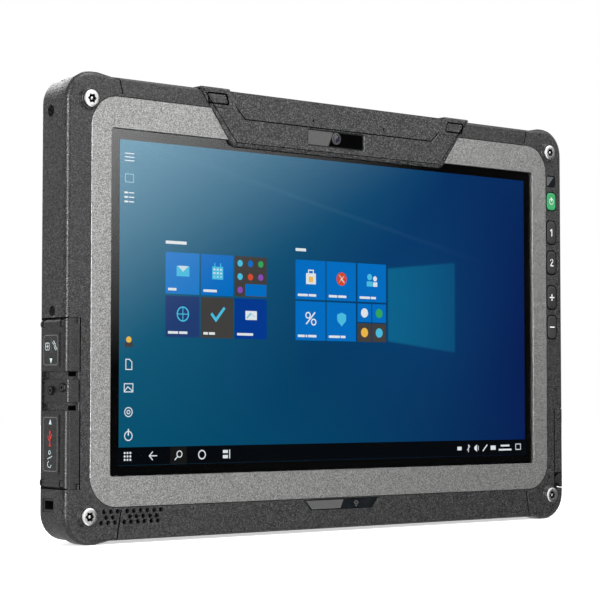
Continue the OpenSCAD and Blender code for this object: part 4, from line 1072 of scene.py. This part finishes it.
# short ribs for the fingertip on the front lips
for name, body, z in (("upperLipRib", "upper_port_door", 86.5), ("lowerLipRib", "lower_port_door", 35.0)):
    ribs = [prism("rib", roundedBox(-152.2 + k * 1.1, -151.6 + k * 1.1, z - 3.6, z + 3.6, 0.28, 4),
        [(place["faceY"] + 0.3, 0), (place["faceY"] - 0.12, 0), (place["faceY"] - 0.2,
        -0.12)]) for k in (0, 1)]
    finish(joined(name, ribs), body, doorPlastic, sharp=40)
print("doors made")

# dark joint lines round the keys, the doors and the plugs, a dark line along the bar's bevel, painted shade
# on the gap floors beside the port block and a painted shadow line along the step of the bar's field, all
# just proud of the face below
lineLook = {"wide": 0.5, "proud": 0.06}


def jointRing(name, outline, inside, outside, y):
    rings = [grow(outline, amount) for amount in (outside, inside)]
    return closedRing(name, *rings, y + 0.4, y - lineLook["proud"])


rings = []
for node in keyMarks:
    low, high = reach(node)
    outline = roundedBox(low[0] + 0.02, high[0] - 0.02, low[2] + 0.82, high[2] - 0.82, keySizes["corner"], 7)
    rings.append(jointRing("ring", [Vector(p) for p in outline], 0.05, 0.05 + lineLook["wide"],
        place["faceY"]))
finish(joined("keySeals", rings), "tablet", jointShade)
jointAndGapShadeBlocks = []
for node in ("upper_port_door", "lower_port_door", "media_door"):
    low, high = reach(node)
    side = -1 if high[0] < 0 else 1
    inner = high[0] if side < 0 else low[0]
    edge = (inner + 0.02,
        inner + 0.02 + lineLook["wide"]) if side < 0 else (inner - 0.02 - lineLook["wide"], inner - 0.02)
    jointAndGapShadeBlocks.append(block("strip", edge, (place["faceY"] - lineLook["proud"], place["faceY"] + 0.4),
        (low[2] - 0.3, high[2] + 0.3)))
# painted shade: black blocks on the floors of the two gaps beside the port block
jointAndGapShadeBlocks += [block("strip", (-153.0, -149.6), (-7.1, -6.65), span) for span in ((58.5, 60.5), (73.2, 75.2))]
finish(joined("doorSeals", jointAndGapShadeBlocks), "tablet", jointShade)
barTop, barFront = place["railTopZ"], barSizes["front"]
# painted shadow: a dark line along the step at the edge of the bar's recessed field
ledge = [(-69.9, barTop - 0.3), (-64, barTop - 8.3), (-59.5, barTop - 12.5), (59.5, barTop - 12.5),
    (64, barTop - 8.3), (69.9, barTop - 0.3)]
ledgeLine = drawing("ledgeLine", [("line", ledge, 0.9)], barFront + 0.6, barFront + 0.33, "y")
w = frameSizes["barBevel"] + 0.3
brow = [(-barSizes["topHalf"] + w, barTop - 0.3), (-barSizes["kneeHalf"] + w, bezelHigh[2]),
    (-barSizes["lowHalf"] + w, barLow[2] + w), (barSizes["lowHalf"] - w, barLow[2] + w),
    (barSizes["kneeHalf"] - w, bezelHigh[2]), (barSizes["topHalf"] - w, barTop - 0.3)]
browLine = drawing("browLine", [("line", brow, 0.36)], barFront + 0.4, barFront - 0.03, "y")
plugRings = [closedRing("plugRing", roundedPolygon(plugCorners(side, 0.6), 1.0, 4),
    roundedPolygon(plugCorners(side, 0.08), 0.8, 4), barFront + 0.4, barFront - 0.03) for side in (-1, 1)]
finish(joined("barLines", [ledgeLine, browLine, *plugRings]), "tablet", jointShade)
seamLines = []
for side in (-1, 1):
    for upper in (False, True):
        ends = (bezelHigh[2] + 1.2, place["railTopZ"] - 1.5) if upper else (bezelLow[2] - 1.2,
            place["railLowZ"] + 1.5)
        start, stop = (bezelHigh[2] + 1, place["topZ"] + 1) if upper else (bezelLow[2] - 1, -1)
        near, far = casingSizes["seamNear"], casingSizes["seamFar"]
        slope = (far - near) / (stop - start)
        points = [(side * (near + slope * (z - start)), z) for z in ends]
        seamLines.append(drawing("seamLine", [("line", points, 0.5)], place["faceY"] + 0.8,
            place["faceY"] + 0.12, "y"))
finish(joined("seamLines", seamLines), "tablet", jointShade)
print("joint lines made")


# casing furniture: port block, lock plate, sockets

def dressed(node, name, body, material, bevel=0.12):
    return finish(easedCopy(node, name), body, material, [node], bevel=bevel, sharp=40)


blockBody = easedCopy("port_block", "portBlock")
cut(blockBody, arrisCutter("arris", 155.3, place["faceY"] + 0.4, 1.6, -1))
finish(blockBody, "tablet", doorPlastic, ["port_block"], bevel=0.12, sharp=40)
# dark rings near the rims of the two screws of the block, and dark dots painted as the shade in their slots
blockLow, blockHigh = reach("port_block_screws")
headR = (blockHigh[1] - blockLow[1] - 9.1) / 2
screwRingAndSlotShadeMarks = [mark for y, z in ((3.2, 67.1), (-5.9, 68.3))
    for mark in (("ring", (y, z), headR - 0.25, 0.3), ("dot", (y, z), 0.7))]
finish(drawing("blockScrewRings", screwRingAndSlotShadeMarks, blockLow[0] + 0.3, blockLow[0] - 0.03, "x"), "tablet",
    jointShade)
dressed("lock_slot", "lockPlate", "tablet", blackSteel, 0.12)
dressed("usb_c_ports", "smallSockets", "tablet", brightSteel, 0.08)
dressed("usb_a_port", "wideSocket", "tablet", brightSteel, 0.1)
dressed("headset_jack", "roundSocket", "tablet", blackPlastic, 0.12)
dressed("card_reader", "cardSocket", "tablet", brightSteel, 0.1)
dressed("dock_connector", "dockConnector", "tablet", blackPlastic, 0.1)
for side in ("left", "right"):
    dressed(f"battery_{side}", f"battery-{side}", f"battery_{side}", batteryPlastic, 0.3)
    dressed(f"latch_{side}", f"latch-{side}", f"latch_{side}", latchPlastic, 0.15)
dressed("strap_inserts", "strapInserts", "tablet", brassMetal, 0.12)
print("furniture made")


# repeated pieces, by Geometry Nodes

class Grower:
    def __init__(self, name, sockets):
        self.tree = bpy.data.node_groups.new(name, "GeometryNodeTree")
        face = self.tree.interface
        self.ids = {}
        for label, (kind, value) in sockets.items():
            made = face.new_socket(name=label, in_out="INPUT", socket_type="NodeSocket" + kind)
            self.ids[label] = (made.identifier, value)
        face.new_socket(name="Geometry", in_out="OUTPUT", socket_type="NodeSocketGeometry")
        self.given = self.tree.nodes.new("NodeGroupInput").outputs
        self.out = self.tree.nodes.new("NodeGroupOutput")

    def node(self, kind, inputs=None, **settings):
        made = self.tree.nodes.new(kind)
        for key, value in settings.items():
            setattr(made, key, value)
        for key, value in (inputs or {}).items():
            if isinstance(value, bpy.types.NodeSocket):
                self.tree.links.new(value, made.inputs[key])
            else:
                made.inputs[key].default_value = value
        return made

    def math(self, operation, a, b=0.0):
        return self.node("ShaderNodeMath", {0: a, 1: b}, operation=operation).outputs[0]

    # realizes the instances, sets the material and turns the result into a plain mesh
    def make(self, name, geometry, material):
        real = self.node("GeometryNodeRealizeInstances", {0: geometry})
        painted = self.node("GeometryNodeSetMaterial", {"Geometry": real.outputs[0], "Material": material})
        self.tree.links.new(painted.outputs[0], self.out.inputs[0])
        obj = bpy.data.objects.new(name, bpy.data.meshes.new(name))
        bpy.context.scene.collection.objects.link(obj)
        step = obj.modifiers.new("grow", "NODES")
        step.node_group = self.tree
        for identifier, value in self.ids.values():
            step[identifier] = value
        return settle(obj)


def growerOnPoints(name, points, template, material):
    maker = Grower(name, {"Template": ("Object", template), "Size": ("Float", 1.0)})
    joinedPoints = maker.node("GeometryNodeJoinGeometry")
    for spot in points:
        dot = maker.node("GeometryNodeMeshLine", {"Count": 1, "Start Location": Vector(spot) * mm},
            mode="OFFSET")
        maker.tree.links.new(dot.outputs[0], joinedPoints.inputs[0])
    shape = maker.node("GeometryNodeObjectInfo", {"Object": maker.given["Template"]})
    spread = maker.node("GeometryNodeInstanceOnPoints", {"Points": joinedPoints.outputs[0],
        "Instance": shape.outputs["Geometry"], "Scale": maker.given["Size"]})
    obj = maker.make(name, spread.outputs[0], material)
    bpy.data.objects.remove(template)
    return obj


# a row or grid of one template, by count and pitch
def growerOnGrid(name, start, stepU, stepV, countU, countV, template, material):
    maker = Grower(name, {"Template": ("Object", template), "Start": ("Vector", Vector(start) * mm),
        "Step across": ("Vector", Vector(stepU) * mm), "Step up": ("Vector", Vector(stepV) * mm),
        "Across": ("Int", countU), "Up": ("Int", countV)})
    row = maker.node("GeometryNodeMeshLine", {"Count": maker.given["Across"],
        "Start Location": maker.given["Start"], "Offset": maker.given["Step across"]}, mode="OFFSET")
    column = maker.node("GeometryNodeMeshLine", {"Count": maker.given["Up"],
        "Offset": maker.given["Step up"]}, mode="OFFSET")
    shape = maker.node("GeometryNodeObjectInfo", {"Object": maker.given["Template"]})
    line = maker.node("GeometryNodeInstanceOnPoints", {"Points": row.outputs[0],
        "Instance": shape.outputs["Geometry"]})
    field = maker.node("GeometryNodeInstanceOnPoints", {"Points": column.outputs[0],
        "Instance": line.outputs[0]})
    obj = maker.make(name, field.outputs[0], material)
    bpy.data.objects.remove(template)
    return obj


rearScrewLook = {"radius": 2.4, "star": 1.35, "deep": 0.6}
rearY = place["backY"] - 0.1
template = starScrew("rearHead", 0, 0, 0, -0.85, rearScrewLook["radius"], rearScrewLook["star"],
    rearScrewLook["deep"], 1)
spots = [(s * 134, rearY, z) for s in (-1, 1) for z in (12, place["topZ"] - 12)]
spots += [(-140, rearY, 110), (140, rearY, 110), (0, rearY, 12), (0, rearY, place["topZ"] - 12)]
finish(growerOnPoints("rearScrews", spots, template, blackSteel), "tablet", blackSteel,
    ["rear_screws"])

# contact pads of the dock connector
pad = lathe("pad", 0, 0, [(0.85, 0.5), (0.85, 0.08), (0.75, 0.0)], "z", 16)
dockLow, dockHigh = reach("dock_connector")
finish(growerOnGrid("dockPads", (-18, (dockLow[1] + dockHigh[1]) / 2, dockLow[2] - 0.05), (3, 0, 0),
    (0, 0, 1), 13, 1, pad, goldMetal), "tablet", goldMetal)

# rubber ribs in the grip field between the upper rear screws
rib = prism("rib", roundedBox(-48, 48, -0.95, 0.95, 0.9, 5),
    [(-0.45, 0), (-0.12, 0), (-0.02, -0.12), (0.0, -0.35)])
finish(growerOnGrid("gripRibs", (70, place["backY"] - 0.05, place["topZ"] - 65), (1, 0, 0), (0, 0, 5), 1, 8,
    rib, blackRubber), "tablet", blackRubber)
print("repeated pieces made")

# rear camera

rearCam = {"x": -70.0, "z": place["topZ"] - 31, "flashX": -58.0}
y = place["backY"]
glassDisc = lathe("rearWindow", rearCam["x"], rearCam["z"], [(4.5, y - 0.9), (4.5, y - 0.45),
    (4.35, y - 0.3), (0.05, y - 0.3)])
finish(glassDisc, "tablet", darkWindow, ["rear_camera_window"])
ring = lathe("rearLensRing", rearCam["x"], rearCam["z"],
    [(2.9, y - 0.32), (2.9, y - 0.22), (2.7, y - 0.16), (2.1, y - 0.16), (1.95, y - 0.26),
    (1.95, y - 0.32)])
finish(ring, "tablet", blackSteel)
dome = lathe("rearLens", rearCam["x"], rearCam["z"],
    [(1.93, y - 0.32), (1.8, y - 0.27), (1.2, y - 0.2), (0.05, y - 0.16)])
finish(dome, "tablet", lensGlass, sharp=60)
flash = lathe("flash", rearCam["flashX"], rearCam["z"], [(1.9, y - 1.2), (1.9, y - 0.6), (1.7, y - 0.4),
    (0.9, y - 0.32), (0.05, y - 0.3)])
finish(flash, "tablet", printed("flash lens", (0.75, 0.70, 0.50), 0.0, 0.2), sharp=60)
print("rear camera made")

# status strip signs

statusMarks = {-12.5: [("ring", (0, 0), 1.1, 0.3), ("line", [(0, 0.3), (0, 1.6)], 0.35)],
    -1.5: [boxShape(-1.5, -0.8, 1.2, 0.8), boxShape(1.3, -0.4, 1.7, 0.4)],
    9.3: [("line", [(-1.4, 0.3), (0, 1.3), (1.4, 0.3)], 0.3), ("line", [(-0.8, -0.4), (0, 0.2),
    (0.8, -0.4)], 0.3), ("dot", (0, -1.1), 0.35)]}
low, high = reach("status_window")
for k, (x, marks) in enumerate(statusMarks.items()):
    mark = drawing(f"statusSign{k}", marks, low[1] + 0.2, low[1] - 0.02, "y", (x, (low[2] + high[2]) / 2))
    finish(mark, "tablet", greyInk)


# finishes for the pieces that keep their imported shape

nodeFinishes = {"camera_board": boardGreen, "display_gasket": blackRubber, "display_cable": flexFilm,
    "mid_frame": castMetal, "lcd_panel": blackPlastic, "key_board": boardGreen,
    "status_board": boardGreen, "port_board": boardGreen, "main_board": boardGreen,
    "heat_spreader": copperMetal, "ssd_module": chipBlack, "wireless_card": chipBlack,
    "antennas": goldMetal, "speaker": blackPlastic, "rear_camera": blackPlastic,
    "upper_door_gasket": blackRubber, "lower_door_gasket": blackRubber, "media_door_gasket": blackRubber,
    "upper_door_pin": brightSteel, "lower_door_pin": brightSteel, "media_door_pin": brightSteel,
    "front_camera": lensGlass, "strap_inserts": brassMetal, "port_block_screws": blackSteel,
    "usb_c_ports": brightSteel, "usb_a_port": brightSteel, "card_reader": brightSteel,
    "headset_jack": blackPlastic, "lock_slot": castMetal, "dock_connector": blackPlastic,}
for node, obj in frame["nodes"].items():
    if obj.hide_render:
        continue
    material = nodeFinishes.get(node, casing)
    for holder in obj.material_slots:
        holder.material = material


# stage, light and camera

stageLook = {"floorSize": 6.0, "floorGlow": 0.55, "camera": (-0.5984, -0.7035, 0.0642), "lens": 113.86,
    "back": (-0.6357, -0.7702, -0.0511)}
floorMesh = bpy.data.meshes.new("floor")
half = stageLook["floorSize"] / 2
floorMesh.from_pydata([(-half, -half, 0), (half, -half, 0), (half, half, 0), (-half, half, 0)], [],
    [(0, 1, 2, 3)])
floor = bpy.data.objects.new("floor", floorMesh)
bpy.context.scene.collection.objects.link(floor)
paleFloor = Shader("pale floor")
paleFloor.set(Base_Color=(0.92, 0.92, 0.92, 1), Roughness=0.9, Specular_IOR_Level=0.0,
    Emission_Color=(1, 1, 1, 1), Emission_Strength=stageLook["floorGlow"])
floorMesh.materials.append(paleFloor.material)
floor.visible_glossy = False
floor.visible_transmission = False


def areaLight(name, spot, target, size, power, colour=(1, 1, 1)):
    data = bpy.data.lights.new(name, "AREA")
    data.shape = "RECTANGLE"
    data.size, data.size_y = size
    data.energy = power
    data.color = colour
    lamp = bpy.data.objects.new(name, data)
    lamp.location = spot
    lamp.rotation_mode = "QUATERNION"
    lamp.rotation_quaternion = (Vector(target) - Vector(spot)).to_track_quat("-Z", "Y")
    bpy.context.scene.collection.objects.link(lamp)
    return lamp


areaLight("edgeLight", (-1.67, -0.98, 0.25), (-0.15, 0, 0.1), (0.28, 1.3), 42)
areaLight("topLight", (0.2, -0.6, 2.0), (0, 0, 0.1), (1.6, 1.2), 24)
areaLight("rearLight", (0.4, 2.0, 1.0), (0, 0, 0.1), (1.6, 1.0), 22)

# a white surround, with a soft light in front on the right that the glass mirrors
world = bpy.data.worlds.new("studio")
bpy.context.scene.world = world
world.use_nodes = True
tree = world.node_tree


def worldNode(kind, inputs=None, **settings):
    made = tree.nodes.new("ShaderNode" + kind)
    for key, value in settings.items():
        setattr(made, key, value)
    for key, value in (inputs or {}).items():
        if isinstance(value, bpy.types.NodeSocket):
            tree.links.new(value, made.inputs[key])
        else:
            made.inputs[key].default_value = value
    return made


surround = {"side": 0.55, "front": 0.02, "soft": 2.5, "spotX": 0.705, "fadeX": 6.5, "spotZ": 0.138,
    "fadeZ": 7.6}
direction = worldNode("SeparateXYZ", {"Vector": worldNode("TexCoord").outputs["Generated"]}).outputs
across = worldNode("MapRange", {"Value": direction["X"], "From Min": surround["spotX"],
    "From Max": surround["spotX"] - 1 / surround["fadeX"]}, clamp=False)
upward = worldNode("MapRange", {"Value": direction["Z"], "From Min": surround["spotZ"],
    "From Max": surround["spotZ"] + 1 / surround["fadeZ"]}, clamp=False)
both = worldNode("Math", {0: across.outputs[0], 1: upward.outputs[0]}, operation="ADD", use_clamp=True)
# the part that lies too far left for the glass to mirror, and lights the paint
beside = worldNode("MapRange", {"Value": direction["X"], "From Min": 0.54, "From Max": 0.42})
curved = worldNode("Math", {0: both.outputs[0], 1: 1.5}, operation="POWER")
eased = worldNode("Math", {0: curved.outputs[0], 1: beside.outputs[0]}, operation="MAXIMUM")
leftFade = worldNode("MapRange", {"Value": direction["X"], "From Min": -0.05, "From Max": 0.35,
    "To Min": 0.3, "To Max": 1.0})
soft = worldNode("Math", {0: eased.outputs[0], 1: leftFade.outputs[0]}, operation="MULTIPLY")
front = worldNode("Math", {0: soft.outputs[0], 1: surround["soft"], 2: surround["front"]},
    operation="MULTIPLY_ADD")
behind = worldNode("MapRange", {"Value": direction["Y"], "From Min": -0.42, "From Max": -0.15})
strength = worldNode("Mix", {0: behind.outputs[0], 2: front.outputs[0], 3: surround["side"]})
seen = worldNode("LightPath").outputs["Is Camera Ray"]
total = worldNode("Mix", {0: seen, 2: strength.outputs[0], 3: 1.0})
backdrop = tree.nodes["Background"]
backdrop.inputs["Color"].default_value = (1, 1, 1, 1)
tree.links.new(total.outputs[0], backdrop.inputs["Strength"])

camera = bpy.data.objects.new("camera", bpy.data.cameras.new("camera"))
bpy.context.scene.collection.objects.link(camera)
bpy.context.scene.camera = camera
camera.data.lens = stageLook["lens"]
camera.data.sensor_width = 36
camera.data.clip_start, camera.data.clip_end = 0.01, 20
camera.location = stageLook["camera"]
camera.rotation_mode = "QUATERNION"
camera.rotation_quaternion = Vector(stageLook["back"]).to_track_quat("Z", "Y")
bpy.context.scene.view_settings.view_transform = "Standard"
print("stage made")
